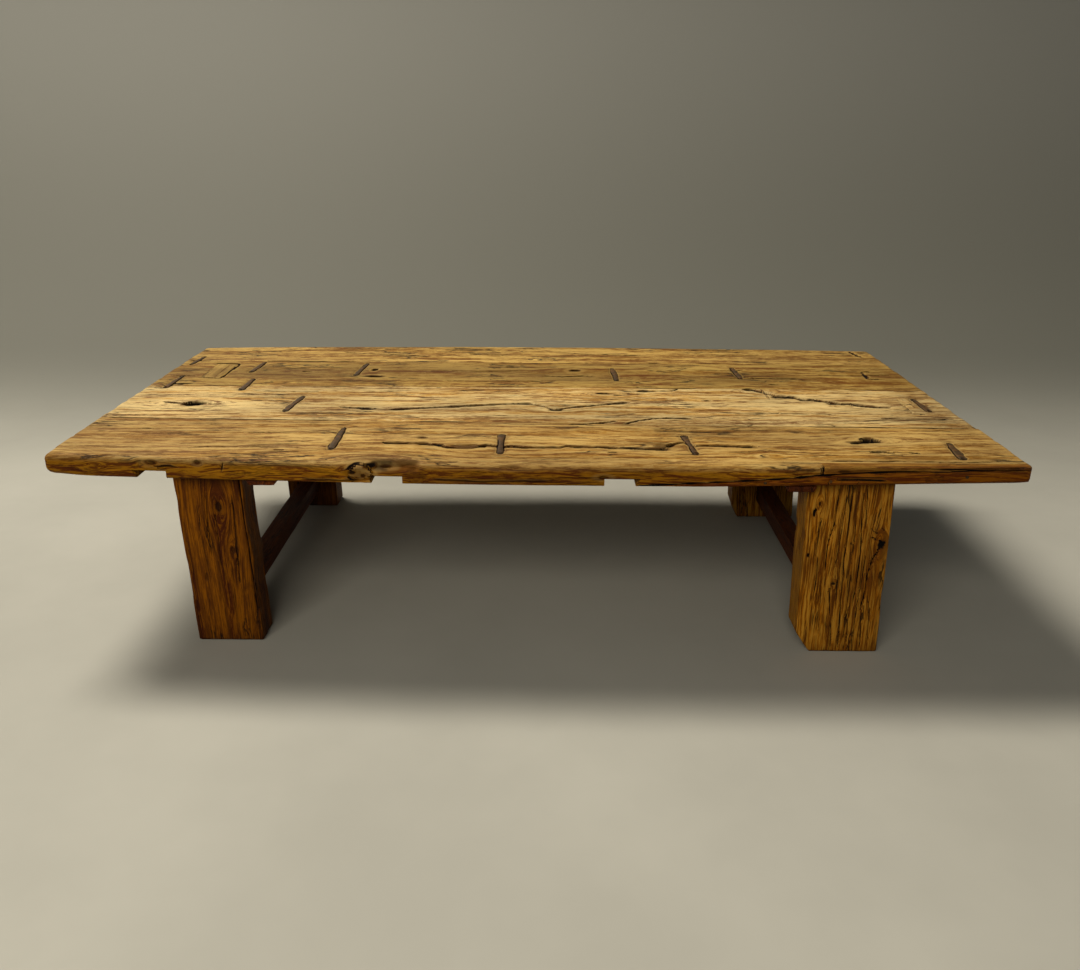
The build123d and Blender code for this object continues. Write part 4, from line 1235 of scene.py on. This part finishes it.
def wood(name, body, pale, line, shade, crevice_shade, pith, ring_width, seed, line_strength=0.7, contrast=1.0,
         edge_tone_and_shade=(1, 1, 1), fibre=1.0, fine=0.0, lip=0.0, coarse=1.0):
    """A material of old waxed wood, with painted shade on its outer faces where an edge tone is given."""
    material, nodes, shader = new_material(name)
    grain = nodes.add("ShaderNodeAttribute", attribute_name="grain").outputs["Vector"]
    figure = nodes.add("ShaderNodeGroup", {
        "Grain": nodes.vector("MULTIPLY", grain, (1.0, coarse, coarse)),
        "Pith": (pith[0], pith[1] * coarse, pith[2] * coarse), "Ring Width": ring_width, "Seed": seed,
    }, node_tree=bpy.data.node_groups["Wood Figure"]).outputs
    marks = nodes.add("ShaderNodeAttribute", attribute_name="marks").outputs
    parts = nodes.add("ShaderNodeSeparateColor", {0: marks["Color"]}).outputs
    split = nodes.add("ShaderNodeAttribute", attribute_name="split").outputs["Vector"]
    ways = nodes.add("ShaderNodeSeparateXYZ", {0: split}).outputs
    given = {
        "Pale": (*pale, 1), "Body": (*body, 1), "Line": (*line, 1), "Shade": (*shade, 1),
        "Crevice": (*crevice_shade, 1), "Tone": (*edge_tone_and_shade, 1), "Hole": parts[0], "Knot": parts[1],
        "Rubbed": parts[2], "Stain": marks["Alpha"], "Off": ways[0], "Dark": ways[1], "Face": ways[2],
        "Line Strength": line_strength, "Fibre Strength": fibre, "Fine Share": fine, "Lip": lip,
        "Contrast": contrast,
    }
    given.update({label: figure[label] for label in FIGURE})
    old = nodes.add("ShaderNodeGroup", given, node_tree=bpy.data.node_groups["Old Wood"]).outputs
    height = nodes.math("SUBTRACT", figure["Height"], old["Height"])
    relief = nodes.add("ShaderNodeBump", {"Height": height, "Strength": 1.0, "Distance": WOOD_BUMP})
    nodes.feed(shader.inputs["Base Color"], old["Color"])
    nodes.feed(shader.inputs["Roughness"], old["Roughness"])
    nodes.feed(shader.inputs["Normal"], relief.outputs[0])
    shader.inputs["Specular IOR Level"].default_value = WOOD_GLOSS
    return material


def plain_wood(name, body, line):
    """Clean sawn wood for pieces that no one sees."""
    material, nodes, shader = new_material(name)
    at = nodes.add("ShaderNodeTexCoord").outputs["Object"]
    figure = nodes.add("ShaderNodeGroup", {"Grain": at, "Pith": (0, 0.1, 0.3)},
                       node_tree=bpy.data.node_groups["Wood Figure"]).outputs
    relief = nodes.add("ShaderNodeBump", {"Height": figure["Height"], "Distance": 0.3 * MM})
    nodes.feed(shader.inputs["Base Color"], nodes.mix(figure["Late Wood"], (*body, 1), (*line, 1)))
    nodes.feed(shader.inputs["Roughness"], nodes.rise(figure["Fibre"], 0.3, 0.7, 0.55, 0.75))
    nodes.feed(shader.inputs["Normal"], relief.outputs[0])
    return material


IN_THE_HOLE = (0.006, 0.004, 0.003, 1)      # iron down in the wood, where no light falls


def forged_iron(settings):
    """Hand-forged iron: dark scale, rust in the hollows, edges rubbed bright, and painted shade where it is
    down in the wood.
    """
    material, nodes, shader = new_material("Forged Iron")
    at = nodes.add("ShaderNodeTexCoord").outputs["Object"]
    hammer = nodes.noise(at, 160.0, 2.0)
    scale = nodes.noise(at, 520.0, 4.0, 0.65)
    rust = nodes.rise(nodes.noise(at, 75.0, 4.0, 0.6), 0.46, 0.62)
    marks = nodes.add("ShaderNodeAttribute", attribute_name="marks").outputs["Color"]
    parts = nodes.add("ShaderNodeSeparateColor", {0: marks}).outputs
    rubbed = (*settings.rubbed, 1)
    base = nodes.mix(rust, (*settings.iron, 1), (*settings.rust, 1))
    base = nodes.mix(nodes.times(nodes.rise(scale, 0.45, 0.7), 0.35), base, rubbed)
    base = nodes.mix(nodes.times(parts[2], 0.8), base, rubbed)
    # Painted shade: iron down in the wood is drawn near-black.
    base = nodes.mix(parts[0], base, IN_THE_HOLE)
    height = nodes.math("ADD", hammer, nodes.times(scale, 0.35))
    relief = nodes.add("ShaderNodeBump", {"Height": height, "Strength": 0.9, "Distance": 0.9 * MM})
    nodes.feed(shader.inputs["Base Color"], base)
    nodes.feed(shader.inputs["Metallic"], nodes.rise(rust, 0.0, 1.0, 0.12, 0.02))
    shader.inputs["Specular IOR Level"].default_value = 0.22
    nodes.feed(shader.inputs["Roughness"], nodes.rise(scale, 0.3, 0.7, 0.50, 0.70))
    nodes.feed(shader.inputs["Normal"], relief.outputs[0])
    return material


def make_materials(settings):
    """Every finish on the table, by name."""
    top, leg, iron = settings.kang_top, settings.kang_legs, settings.kang_iron
    wood_figure_group()
    old_wood_group()
    # lip sets the strength of the painted highlight beside the top's splits.
    top_wood = {"line": top.line, "shade": top.shade, "crevice_shade": top.crevice_shade, "edge_tone_and_shade": top.edge_tone_and_shade,
                "lip": 0.4}
    patch = {"pith": (0, 0.1, 0.2), "ring_width": 0.0050, "line_strength": 0.3, **top_wood}
    dark_wood = {"line": leg.dark_line, "shade": leg.dark_line, "crevice_shade": top.crevice_shade}
    golden_wood = {"line": leg.golden_line, "shade": leg.golden_line, "crevice_shade": top.crevice_shade}
    return {
        "plank_front": wood(
            "Front Plank Wood", top.front_body, top.front_pale, **top_wood,
            pith=(0, -0.30, 0.20), ring_width=0.0072, seed=1.0, line_strength=0.85),
        "plank_centre_front": wood(
            "Centre Front Plank Wood", top.centre_front_body, top.centre_front_pale, **top_wood,
            pith=(0, -0.06, 0.26), ring_width=0.0064, seed=5.0, contrast=1.1, coarse=0.85),
        "plank_centre_rear": wood(
            "Centre Rear Plank Wood", top.centre_rear_body, top.centre_rear_pale, **top_wood,
            pith=(0, 0.20, 0.22), ring_width=0.0060, seed=9.0, line_strength=0.9, coarse=0.55),
        "plank_rear": wood(
            "Rear Plank Wood", top.rear_body, top.rear_pale, **top_wood,
            pith=(0, 0.44, 0.16), ring_width=0.0060, seed=13.0, line_strength=0.9, coarse=0.5),
        "edge_strip": wood(
            "Edge Strip Wood", top.strip, top.front_body, **top_wood,
            pith=(0, -0.44, 0.31), ring_width=0.0048, seed=17.0, contrast=0.5),
        "patch_left": wood(
            "Left Patch Wood", top.centre_rear_pale, top.rear_pale, **patch, seed=21.0, contrast=0.4,
            fibre=0.5),
        "patch_right": wood(
            "Right Patch Wood", top.centre_front_body, top.centre_front_pale, **patch, seed=23.0,
            contrast=0.5, fibre=0.6),
        "leg_left": wood(
            "Dark Leg Wood", leg.dark, leg.golden, **dark_wood, pith=(0, -0.66, -0.30), ring_width=0.0075,
            seed=25.0, contrast=0.45, line_strength=0.5, fibre=0.45, fine=0.5),
        "leg_right": wood(
            "Golden Leg Wood", leg.golden, leg.golden_pale, **golden_wood, pith=(0, 0.52, -0.30),
            ring_width=0.0070, seed=29.0, contrast=0.25, line_strength=0.4, fibre=0.8, fine=0.85),
        "rail": wood(
            "Rail Wood", leg.rail, leg.dark, **dark_wood, pith=(0, 0.0, 0.12), ring_width=0.0050, seed=33.0,
            contrast=0.6),
        "inner": plain_wood("Inner Wood", top.rear_pale, top.rear_body),
        "iron": forged_iron(iron),
    }


FINISHES = {}


def finish_of(name):
    """One of the finishes, made at first need."""
    if "Wood Figure" not in bpy.data.node_groups:
        FINISHES.update(make_materials(bpy.context.scene))
    return FINISHES[name]


# ------------------------------------------------------------------------------------------------- pieces
# The planks from the front to the rear: piece, node, slot, and the joints in front of it and behind it.
PLANKS = (
    ("FrontPlank", "plank_front", "plank_wood_orange", None, "front"),
    ("CentreFrontPlank", "plank_centre_front", "plank_wood_pale", "front", "centre"),
    ("CentreRearPlank", "plank_centre_rear", "plank_wood_grey", "centre", "rear"),
    ("RearPlank", "plank_rear", "plank_wood_grey", "rear", None),
)
# What is let into each plank: piece, node, slot and finish.
INLETS = {
    "plank_front": (("LowerEdgeStrip", "edge_strip_lower", "plank_wood_orange", "edge_strip"),
                    ("UpperEdgeStrip", "edge_strip_upper", "plank_wood_orange", "edge_strip"),
                    ("SlotPlug", "slot_plug", "plank_wood_orange", "edge_strip")),
    "plank_centre_front": (("RightPatch", "patch_right", "patch_wood", "patch_right"),),
    "plank_centre_rear": (("LeftPatch", "patch_left", "patch_wood", "patch_left"),),
}


class KANG_OT_planks(bpy.types.Operator):
    """Carve the four planks of the top, and the strips, patches and plug that are let into them"""
    bl_idname = "kang.planks"
    bl_label = "Planks"

    def execute(self, context):
        settings = context.scene.kang_top
        for name, node, slot, front, rear in PLANKS:
            block = top_block(name, front, rear, settings)
            for inlet, inlet_node, inlet_slot, finish in INLETS.get(node, ()):
                finish_top_piece(copy_of(block, inlet), inlet_node, finish_of(finish), settings,
                                 crosswise=inlet_slot == "patch_wood")
            finish_top_piece(block, node, finish_of(node), settings, joints=(front, rear))
        return {"FINISHED"}


def soften_edges(piece, width):
    """Takes the sharpness off the edges of a small piece."""
    activate(piece)
    soften = piece.modifiers.new("Soften", "BEVEL")
    soften.width = width
    soften.segments = 1
    soften.limit_method = "ANGLE"
    soften.angle_limit = math.radians(45)
    bpy.ops.object.modifier_apply(modifier=soften.name)


BAR_DEPTH = 5 * MM         # from the top of a cramp's bar to where its spikes begin
SPIKE_INSET = 4 * MM       # from an end of the bar to the middle of its spike


class KANG_OT_cramps(bpy.types.Operator):
    """Forge the thirteen iron cramps, each with a crowned bar and two spikes"""
    bl_idname = "kang.cramps"
    bl_label = "Cramps"

    def execute(self, context):
        settings = context.scene.kang_iron
        for number, bar in enumerate(BARS):
            self.forge(bar, number, settings)
        return {"FINISHED"}

    def forge(self, bar, number, settings):
        """One cramp: a hammered bar, narrower towards its ends, over two spikes."""
        low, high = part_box(bar["name"])
        crown_z = high.z + settings.proud
        under_z = high.z - BAR_DEPTH
        piece, step, counts = grid_block("Cramp%02d" % (number + 1), (40,), (8,), (4,))
        i, j, k = step.T
        part = i / counts[0] * 2 - 1
        side = j / counts[1] * 2 - 1
        level = k / counts[2]
        half_width, bend = bar_outline(bar, part)
        along = part * (bar["length"] / 2 - END_GAP)
        aside = side * half_width + bend
        height = under_z + level * (crown_z - under_z)
        surface = points_at(along * 40, aside * 40, number * 3.7)
        dents = layered(surface, (1.6, 3.0, 1), 87, 3)
        fall = settings.crown * (side**2) + 0.9 * MM * dents + 1.2 * MM * np.abs(part) ** 6
        height -= fall * level
        flat = bar["middle"] + along[:, None] * bar["axis"] + aside[:, None] * bar["side"]
        place(piece, np.column_stack((flat, height)))
        self.draw_spikes(piece, bar, under_z, low.z)
        soften_edges(piece, 0.35 * MM)
        smooth(piece, 50)
        points = places(piece)
        across = np.abs((points[:, :2] - bar["middle"]) @ bar["side"]) / (bar["width"] / 2)
        rub = smooth_step(0.55, 0.95, across) * smooth_step(crown_z - 3 * MM, crown_z - 1 * MM, points[:, 2])
        # Painted shade: iron below the wood's surface is marked to be drawn near-black.
        dark = smooth_step(TOP_Z - 2.5 * MM, TOP_Z - 4 * MM, points[:, 2])
        zero = np.zeros(len(points))
        store(piece, "marks", np.column_stack((dark, zero, rub * 0.6, zero)))
        settle(piece, (bar["name"],), finish_of("iron"))

    def draw_spikes(self, piece, bar, under_z, point_z):
        """Draws a tapered spike down from under each end of a bar."""
        for end in (-1, 1):
            centre = bar["middle"] + end * bar["axis"] * (bar["length"] / 2 - SPIKE_INSET)
            clear_selection(piece, "faces")
            for face in piece.data.polygons:
                away = np.array(face.center[:2]) - centre
                beneath = face.normal.z < -0.9 and abs(away @ bar["axis"]) < SPIKE_INSET
                face.select = bool(beneath and abs(away @ bar["side"]) < bar["width"] * 0.25)
            bpy.ops.object.mode_set(mode="EDIT")
            for drop, shrink in ((0.55, 0.72), (0.45, 0.22)):
                bpy.ops.mesh.extrude_region_move(
                    TRANSFORM_OT_translate={"value": (0, 0, (point_z - under_z) * drop)})
                bpy.ops.transform.resize(value=(shrink, shrink, 1), center_override=(*centre, 0))
            bpy.ops.object.mode_set(mode="OBJECT")


NAIL_HEAD_RADIUS = 2.9 * MM
NAIL_HEAD_DEPTH = 1.2 * MM
NAIL_SHOULDER = 1.5 * MM       # how much narrower the shank is than the head, on each side
NAIL_GAP = 20 * MM             # no two nails stand as near to each other as this


class KANG_OT_strip_nails(bpy.types.Operator):
    """Make the hand-cut nails that hold the lower edge strip"""
    bl_idname = "kang.strip_nails"
    bl_label = "Strip Nails"

    def execute(self, context):
        points = np.array([v.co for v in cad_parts["strip_nails"].data.vertices])
        middles = []
        for x in sorted(points[:, 0]):
            if not middles or x > middles[-1] + NAIL_GAP:
                middles.append(x)
        nails = []
        for start in middles:
            own = points[(points[:, 0] > start - 1e-5) & (points[:, 0] < start + NAIL_GAP)]
            nails.append(self.cut_nail((own.min(0) + own.max(0)) / 2, own))
        piece = join_all(nails)
        piece.name = piece.data.name = "StripNails"
        store(piece, "marks", np.zeros((len(piece.data.vertices), 4)))
        smooth(piece, 40)
        settle(piece, ("strip_nails",), finish_of("iron"))
        return {"FINISHED"}

    def cut_nail(self, middle, own):
        """One nail along Y: a square tapered shank under a faceted head."""
        head = own[:, 1].min()
        tip = own[:, 1].max()
        deselect_all()
        bpy.ops.mesh.primitive_cylinder_add(vertices=8, radius=NAIL_HEAD_RADIUS, depth=NAIL_HEAD_DEPTH,
                                            location=(middle[0], head + 0.8 * MM, middle[2]),
                                            rotation=(math.pi / 2, 0, 0))
        nail = bpy.context.object
        bpy.ops.object.transform_apply(location=True, rotation=True, scale=True)
        bpy.context.tool_settings.mesh_select_mode = (False, False, True)
        back = max(face.center.y for face in nail.data.polygons)
        for face in nail.data.polygons:
            face.select = face.center.y > back - 0.01 * MM
        bpy.ops.object.mode_set(mode="EDIT")
        bpy.ops.mesh.inset(thickness=NAIL_SHOULDER)
        bpy.ops.mesh.extrude_region_move(TRANSFORM_OT_translate={"value": (0, (tip - head) * 0.6, 0)})
        bpy.ops.mesh.extrude_region_move(TRANSFORM_OT_translate={"value": (0, (tip - head) * 0.34, 0)})
        bpy.ops.transform.resize(value=(0.3, 1, 0.3), center_override=(middle[0], tip, middle[2]))
        bpy.ops.object.mode_set(mode="OBJECT")
        return nail


class KANG_OT_keys(bpy.types.Operator):
    """Finish the loose tongues inside the joints"""
    bl_idname = "kang.keys"
    bl_label = "Loose Tongues"

    def execute(self, context):
        for joint in JOINTS:
            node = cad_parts["keys_%s_joint" % joint]
            node.data.materials.clear()
            node.data.materials.append(finish_of("inner"))
        return {"FINISHED"}


FACE_FADE = (14 * MM, 8 * MM)      # splits aren't drawn deeper than this in a leg's face, and in full to this


def rounded(points, low, high, radius):
    """Points on a box moved onto the same box with rounded edges, and the outward direction at each."""
    core = np.clip(points, low + radius, high - radius)
    out = points - core
    reach = np.abs(out).max(axis=1)
    normal = out / np.maximum(np.linalg.norm(out, axis=1), 1e-9)[:, None]
    return core + normal * reach[:, None], normal


class KANG_OT_legs(bpy.types.Operator):
    """Carve the four slab legs, with their splits, knots and dents"""
    bl_idname = "kang.legs"
    bl_label = "Legs"

    def execute(self, context):
        settings = context.scene.kang_legs
        for row in ("front", "rear"):
            for side in ("left", "right"):
                self.carve("leg_%s_%s" % (row, side), row, side, settings)
        return {"FINISHED"}

    def carve(self, node, row, side, settings):
        """One leg: a leaning slab, cut to its solid with its tenon and mortise."""
        low, high = (np.array(c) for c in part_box(node))
        name = row.title() + side.title() + "Leg"
        block, step, counts = grid_block(name, (2, 35), (2, 15), (2, 60))
        part = step / counts
        size_low = np.array((low[0], low[1], FOOT_GAP))
        size_high = np.array((high[0] - LEG_LEAN, high[1], high[2] + 1 * MM))
        points = size_low + part * (size_high - size_low)
        points, normal = rounded(points, size_low, size_high, settings.arris)
        x, y, z = points.T.copy()
        lean = LEG_LEAN * (1 - z / UNDERSIDE_Z)
        width, rise = FOOT_BEVELS.get(node, (0.0, 1.0))
        bevel = (width + 0.8 * MM) * np.clip(1 - z / rise, 0, 1) if width else 0.0
        across = (x - size_low[0]) / (size_high[0] - size_low[0])
        x += lean + bevel * (1 - across)
        depth = self.worn(x, y, z, node, settings)
        split_depth = self.splits(x, z, node)[0]
        far_depth = self.splits(-x + size_low[0] + size_high[0], z, node)[0]
        split_depth = np.where(normal[:, 1] < 0, split_depth, far_depth)
        level = np.abs(normal[:, 1])
        most = np.where(level > 0.999, 1.0, 0.6 * settings.arris * level)
        depth = depth + np.minimum(split_depth, most) * (level > 0.3)
        points = points_at(x, y, z) - normal * depth[:, None]
        for where, middle, half, deep in LEG_DENTS.get(node, ()):
            sign = -1 if where == "left" else 1
            facing = smooth_step(0.2, 0.7, normal[:, 0] * sign)
            ragged = 0.7 + 0.6 * layered(points, (30, 40, 30), 99, 2)
            dent = deep * MM * bump_at(z - middle * MM, half * MM) * ragged
            points[:, 0] -= sign * dent * facing
        points[:, 2] = np.where(normal[:, 2] < -0.99, FOOT_GAP, np.maximum(points[:, 2], FOOT_GAP))
        place(block, points)
        keep_inside(block, node)
        smooth(block, 40)
        self.mark(block, node, side, size_low, size_high)

    def worn(self, x, y, z, node, settings):
        """Depth of the weathered relief on a leg."""
        seed = sum(map(ord, node)) % 40
        points = points_at(x, y, z)
        ridges = layered(points, (95, 95, 5), 101 + seed, 3)
        broad = layered(points, (14, 14, 5), 105 + seed, 2)
        return 0.3 * MM + settings.relief * ((1 - ridges) ** 1.4 * 1.5 + 1.3 * broad)

    def splits(self, x, z, node):
        """The splits and pits of a leg's front face: their depth, and the nearest one and how dark it is."""
        return nearest(split_field(x, z, LEG_SPLITS[node], 300), pit_field(x, z, LEG_PITS[node], 330))

    def mark(self, block, node, side, size_low, size_high):
        """Stores the leg's grain and marks, and finishes it."""
        points = places(block)
        x, y, z = points.T
        middle_y = (size_low[1] + size_high[1]) / 2
        _, front_off, front_dark = self.splits(x, z, node)
        _, back_off, back_dark = self.splits(-x + size_low[0] + size_high[0], z, node)
        half_depth = middle_y - size_low[1]
        near_face = smooth_step(half_depth - FACE_FADE[0], half_depth - FACE_FADE[1], np.abs(y - middle_y))
        off = np.where(y < middle_y, front_off, back_off)
        dark = np.where(y < middle_y, front_dark, back_dark) * near_face
        dark *= 1 - smooth_step(6.0, 8.5, np.abs(off))
        grain = points.copy()
        knot = np.zeros(len(x))
        for kx, kz, radius, strength in LEG_KNOTS[node]:
            radius = radius * MM
            dx, dz = x - kx * MM, z - kz * MM
            pull = radius**2 / (dx**2 + (dz / 2.6) ** 2 + 0.4 * radius**2)
            grain[:, 0] -= dx * np.minimum(pull, 2.0) * near_face
            t = np.hypot(dx / (radius * 0.8), dz / (radius * 1.2))
            knot = np.maximum(knot, strength * (1 - smooth_step(0.3, 1.3, t)) * near_face)
        grain[:, 0] += 7 * MM * (layered(points, (6, 4, 3), 111, 2) - 0.5)
        foot = bump_at(z, 22 * MM)
        head = smooth_step(UNDERSIDE_Z - 30 * MM, UNDERSIDE_Z, z)
        cloud = layered(points, (14, 14, 8), 115, 3)
        # Darker towards the foot and in clouds; towards the head, under the top, the darkening is painted
        # shade.
        stain_and_shade = np.clip(0.6 * foot + 0.4 * head + 0.7 * smooth_step(0.5, 0.78, cloud), 0, 1)
        edge = np.minimum(np.abs(x - size_low[0]), np.abs(x - size_high[0]))
        rub = bump_at(edge, 9 * MM) * smooth_step(0.4, 0.7, cloud) * 0.6
        zero = np.zeros(len(x))
        store(block, "grain", grain[:, (2, 0, 1)])
        store(block, "marks", np.column_stack((zero, knot, rub, stain_and_shade)))
        store(block, "split", np.column_stack((off, dark, zero)))
        settle(block, (node,), finish_of("leg_" + side))


BATTEN_TAPER = 0.233      # share of its width that a batten loses towards its foot


class KANG_OT_rails(bpy.types.Operator):
    """Dress the battens under the top and the stretchers between the legs"""
    bl_idname = "kang.rails"
    bl_label = "Battens and Stretchers"

    def execute(self, context):
        for node in ("batten_left", "batten_right", "stretcher_left", "stretcher_right"):
            self.dress(node)
        return {"FINISHED"}

    def dress(self, node):
        """One rail: an adzed bar cut to its solid, with its ridge or tenons."""
        low, high = (np.array(c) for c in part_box(node))
        name = "".join(word.title() for word in node.split("_"))
        block, step, counts = grid_block(name, (12,), (4, 40), (10,))
        points = low + step / counts * (high - low)
        points, normal = rounded(points, low, high, 2.5 * MM)
        seed = sum(map(ord, node)) % 30
        adzed = layered(points, (60, 14, 60), 121 + seed, 3)
        ridges = layered(points, (160, 6, 160), 125 + seed, 2)
        depth = 0.15 * MM + 1.1 * MM * adzed + 0.5 * MM * (1 - ridges)
        points -= normal * depth[:, None]
        if node.startswith("batten"):
            points = self.splay(points, low, high)
        place(block, points)
        keep_inside(block, node)
        smooth(block, 38)
        points = places(block)
        cloud = layered(points, (20, 6, 20), 131, 3)
        zero = np.zeros(len(points))
        rub = smooth_step(0.55, 0.8, cloud) * 0.5
        stain_and_shade = smooth_step(0.5, 0.25, cloud) * 0.8
        store(block, "grain", points[:, (1, 0, 2)])
        store(block, "marks", np.column_stack((zero, zero, rub, stain_and_shade)))
        store(block, "split", points_at(zero + FAR, 0.0))
        settle(block, (node,), finish_of("rail"))

    def splay(self, points, low, high):
        """Narrows a batten's block towards its foot, and lifts its top clear of the dovetailed ridge."""
        middle = (low[0] + high[0]) / 2
        drop = np.clip((UNDERSIDE_Z - points[:, 2]) / (UNDERSIDE_Z - low[2]), 0, 1)
        points[:, 0] = middle + (points[:, 0] - middle) * (1 - BATTEN_TAPER * drop)
        points[:, 2] = np.where(points[:, 2] > UNDERSIDE_Z - 4 * MM, points[:, 2] + 3 * MM, points[:, 2])
        return points


# ------------------------------------------------------------------------------------------------- studio
# Each softbox: its name, where it stands, what it faces, its size, and the setting of its power.
SOFTBOXES = (
    ("KeyLight", (-3.4, 2.9, 7.1), (0.0, -0.2, 0.0), (2.8, 2.5), "key_power"),
    ("FillLight", (-0.9, -3.4, 2.3), (0.0, 0.0, 0.25), (2.4, 1.6), "fill_power"),
)
FLOOR_SIZE = (24, 12)
WALL_HEIGHT = 7.0
COVE_RADIUS = 2.4           # of the curve from the floor into the wall
BOUNCED = 0.22              # share of the floor's colour that its bounced light takes up
SEEN_AMBIENT = 0.6          # strength of the surround as the camera sees it


class KANG_OT_studio(bpy.types.Operator):
    """Set up the floor, the backdrop, the lights and the camera"""
    bl_idname = "kang.studio"
    bl_label = "Studio"

    def execute(self, context):
        settings = context.scene.kang_studio
        self.backdrop(settings)
        for name, location, target, size, power in SOFTBOXES:
            self.softbox(name, location, target, size, getattr(settings, power), settings.key_colour)
        self.surround(settings)
        self.camera(settings)
        context.scene.view_settings.view_transform = "Standard"
        return {"FINISHED"}

    def backdrop(self, settings):
        """A floor that curves up into a wall."""
        deselect_all()
        bpy.ops.mesh.primitive_plane_add(size=1, location=(0, settings.wall_place - FLOOR_SIZE[1] / 2, 0))
        floor = bpy.context.object
        floor.name = floor.data.name = "Backdrop"
        floor.scale = (*FLOOR_SIZE, 1)
        bpy.ops.object.transform_apply(location=True, rotation=True, scale=True)
        clear_selection(floor, "edges")
        for edge in floor.data.edges:
            ends = [floor.data.vertices[v].co.y for v in edge.vertices]
            edge.select = min(ends) > settings.wall_place - 0.1
        bpy.ops.object.mode_set(mode="EDIT")
        bpy.ops.mesh.extrude_region_move(TRANSFORM_OT_translate={"value": (0, 0, WALL_HEIGHT)})
        bpy.ops.object.mode_set(mode="OBJECT")
        cove = floor.modifiers.new("Cove", "BEVEL")
        cove.width = COVE_RADIUS
        cove.segments = 24
        bpy.ops.object.modifier_apply(modifier=cove.name)
        bpy.ops.object.shade_smooth()
        floor.data.materials.append(self.paper(settings))

    def paper(self, settings):
        """Pale studio floor, with faint clouding."""
        material, nodes, shader = new_material("Studio Floor")
        at = nodes.add("ShaderNodeTexCoord").outputs["Object"]
        cloud = nodes.noise(at, 1.1, 5.0, 0.6)
        pale = (*settings.floor, 1)
        dim = (*(0.86 * v for v in settings.floor), 1)
        base = nodes.mix(nodes.rise(cloud, 0.3, 0.7), dim, pale)
        along = nodes.add("ShaderNodeSeparateXYZ", {0: at})
        base = nodes.mix(nodes.rise(along.outputs[1], 0.2, 1.9), base, (*settings.wall_foot, 1))
        base = nodes.mix(nodes.rise(along.outputs[2], 0.25, 2.2), base, (*settings.wall, 1))
        base = nodes.mix(seen_rays(nodes), (*(BOUNCED * v for v in settings.floor), 1), base)
        nodes.feed(shader.inputs["Base Color"], base)
        shader.inputs["Roughness"].default_value = 0.75
        shader.inputs["Specular IOR Level"].default_value = 0.2
        return material

    def softbox(self, name, location, target, size, power, tone):
        """A rectangular soft light."""
        light = bpy.data.lights.new(name, "AREA")
        light.shape = "RECTANGLE"
        light.size, light.size_y = size
        light.energy = power
        light.color = tone
        lamp = bpy.data.objects.new(name, light)
        bpy.context.scene.collection.objects.link(lamp)
        lamp.location = location
        lamp.rotation_euler = (Vector(target) - Vector(location)).to_track_quat("-Z", "Y").to_euler()

    def surround(self, settings):
        """An even pale surround."""
        world = bpy.data.worlds.new("Studio")
        bpy.context.scene.world = world
        world.use_nodes = True
        nodes = Tree(world.node_tree)
        background = world.node_tree.nodes["Background"]
        background.inputs["Color"].default_value = (1, 1, 1, 1)
        more = SEEN_AMBIENT - settings.ambient
        strength = nodes.math("MULTIPLY_ADD", seen_rays(nodes), more, settings.ambient)
        nodes.feed(background.inputs["Strength"], strength)

    def camera(self, settings):
        """The camera in front of the table."""
        data = bpy.data.cameras.new("Camera")
        data.sensor_fit = "HORIZONTAL"
        data.sensor_width = 36
        data.lens = settings.lens
        data.clip_start, data.clip_end = 0.05, 60
        camera = bpy.data.objects.new("Camera", data)
        bpy.context.scene.collection.objects.link(camera)
        dip, turn, roll = settings.camera_dip, settings.camera_turn, settings.camera_roll
        ahead = Vector((math.sin(turn) * math.cos(dip), math.cos(turn) * math.cos(dip), -math.sin(dip)))
        level = Vector((math.cos(turn), -math.sin(turn), 0))
        upright = level.cross(ahead)
        right = level * math.cos(roll) + upright * math.sin(roll)
        up = upright * math.cos(roll) - level * math.sin(roll)
        turned = Matrix((right, up, -ahead)).transposed()
        camera.matrix_world = Matrix.Translation(settings.camera_place) @ turned.to_4x4()
        bpy.context.scene.camera = camera


class KANG_PT_panel(bpy.types.Panel):
    """Lists the pieces of the kang table and their sizes and colours"""
    bl_label = "Kang Table"
    bl_idname = "KANG_PT_panel"
    bl_space_type = "VIEW_3D"
    bl_region_type = "UI"
    bl_category = "Kang Table"

    def draw(self, context):
        layout = self.layout
        for operator in OPERATORS:
            layout.operator(operator.bl_idname)
        for name in SETTINGS:
            group = getattr(context.scene, name)
            box = layout.box()
            for setting in group.__annotations__:
                box.prop(group, setting)


OPERATORS = (KANG_OT_planks, KANG_OT_keys, KANG_OT_cramps, KANG_OT_strip_nails, KANG_OT_legs, KANG_OT_rails,
             KANG_OT_studio)
SETTINGS = {"kang_top": TopSettings, "kang_legs": LegSettings, "kang_iron": IronSettings,
            "kang_studio": StudioSettings}
CLASSES = (*SETTINGS.values(), *OPERATORS, KANG_PT_panel)


def register():
    """Adds the classes and their settings to Blender."""
    for made in CLASSES:
        bpy.utils.register_class(made)
    for name, group in SETTINGS.items():
        setattr(bpy.types.Scene, name, PointerProperty(type=group))


def unregister():
    """Takes the classes and their settings out of Blender."""
    for name in SETTINGS:
        delattr(bpy.types.Scene, name)
    for made in reversed(CLASSES):
        bpy.utils.unregister_class(made)


def main():
    """Builds the table and its studio."""
    register()
    bpy.ops.kang.planks()
    bpy.ops.kang.keys()
    bpy.ops.kang.cramps()
    bpy.ops.kang.strip_nails()
    bpy.ops.kang.legs()
    bpy.ops.kang.rails()
    bpy.ops.kang.studio()


if __name__ == "__main__":
    main()
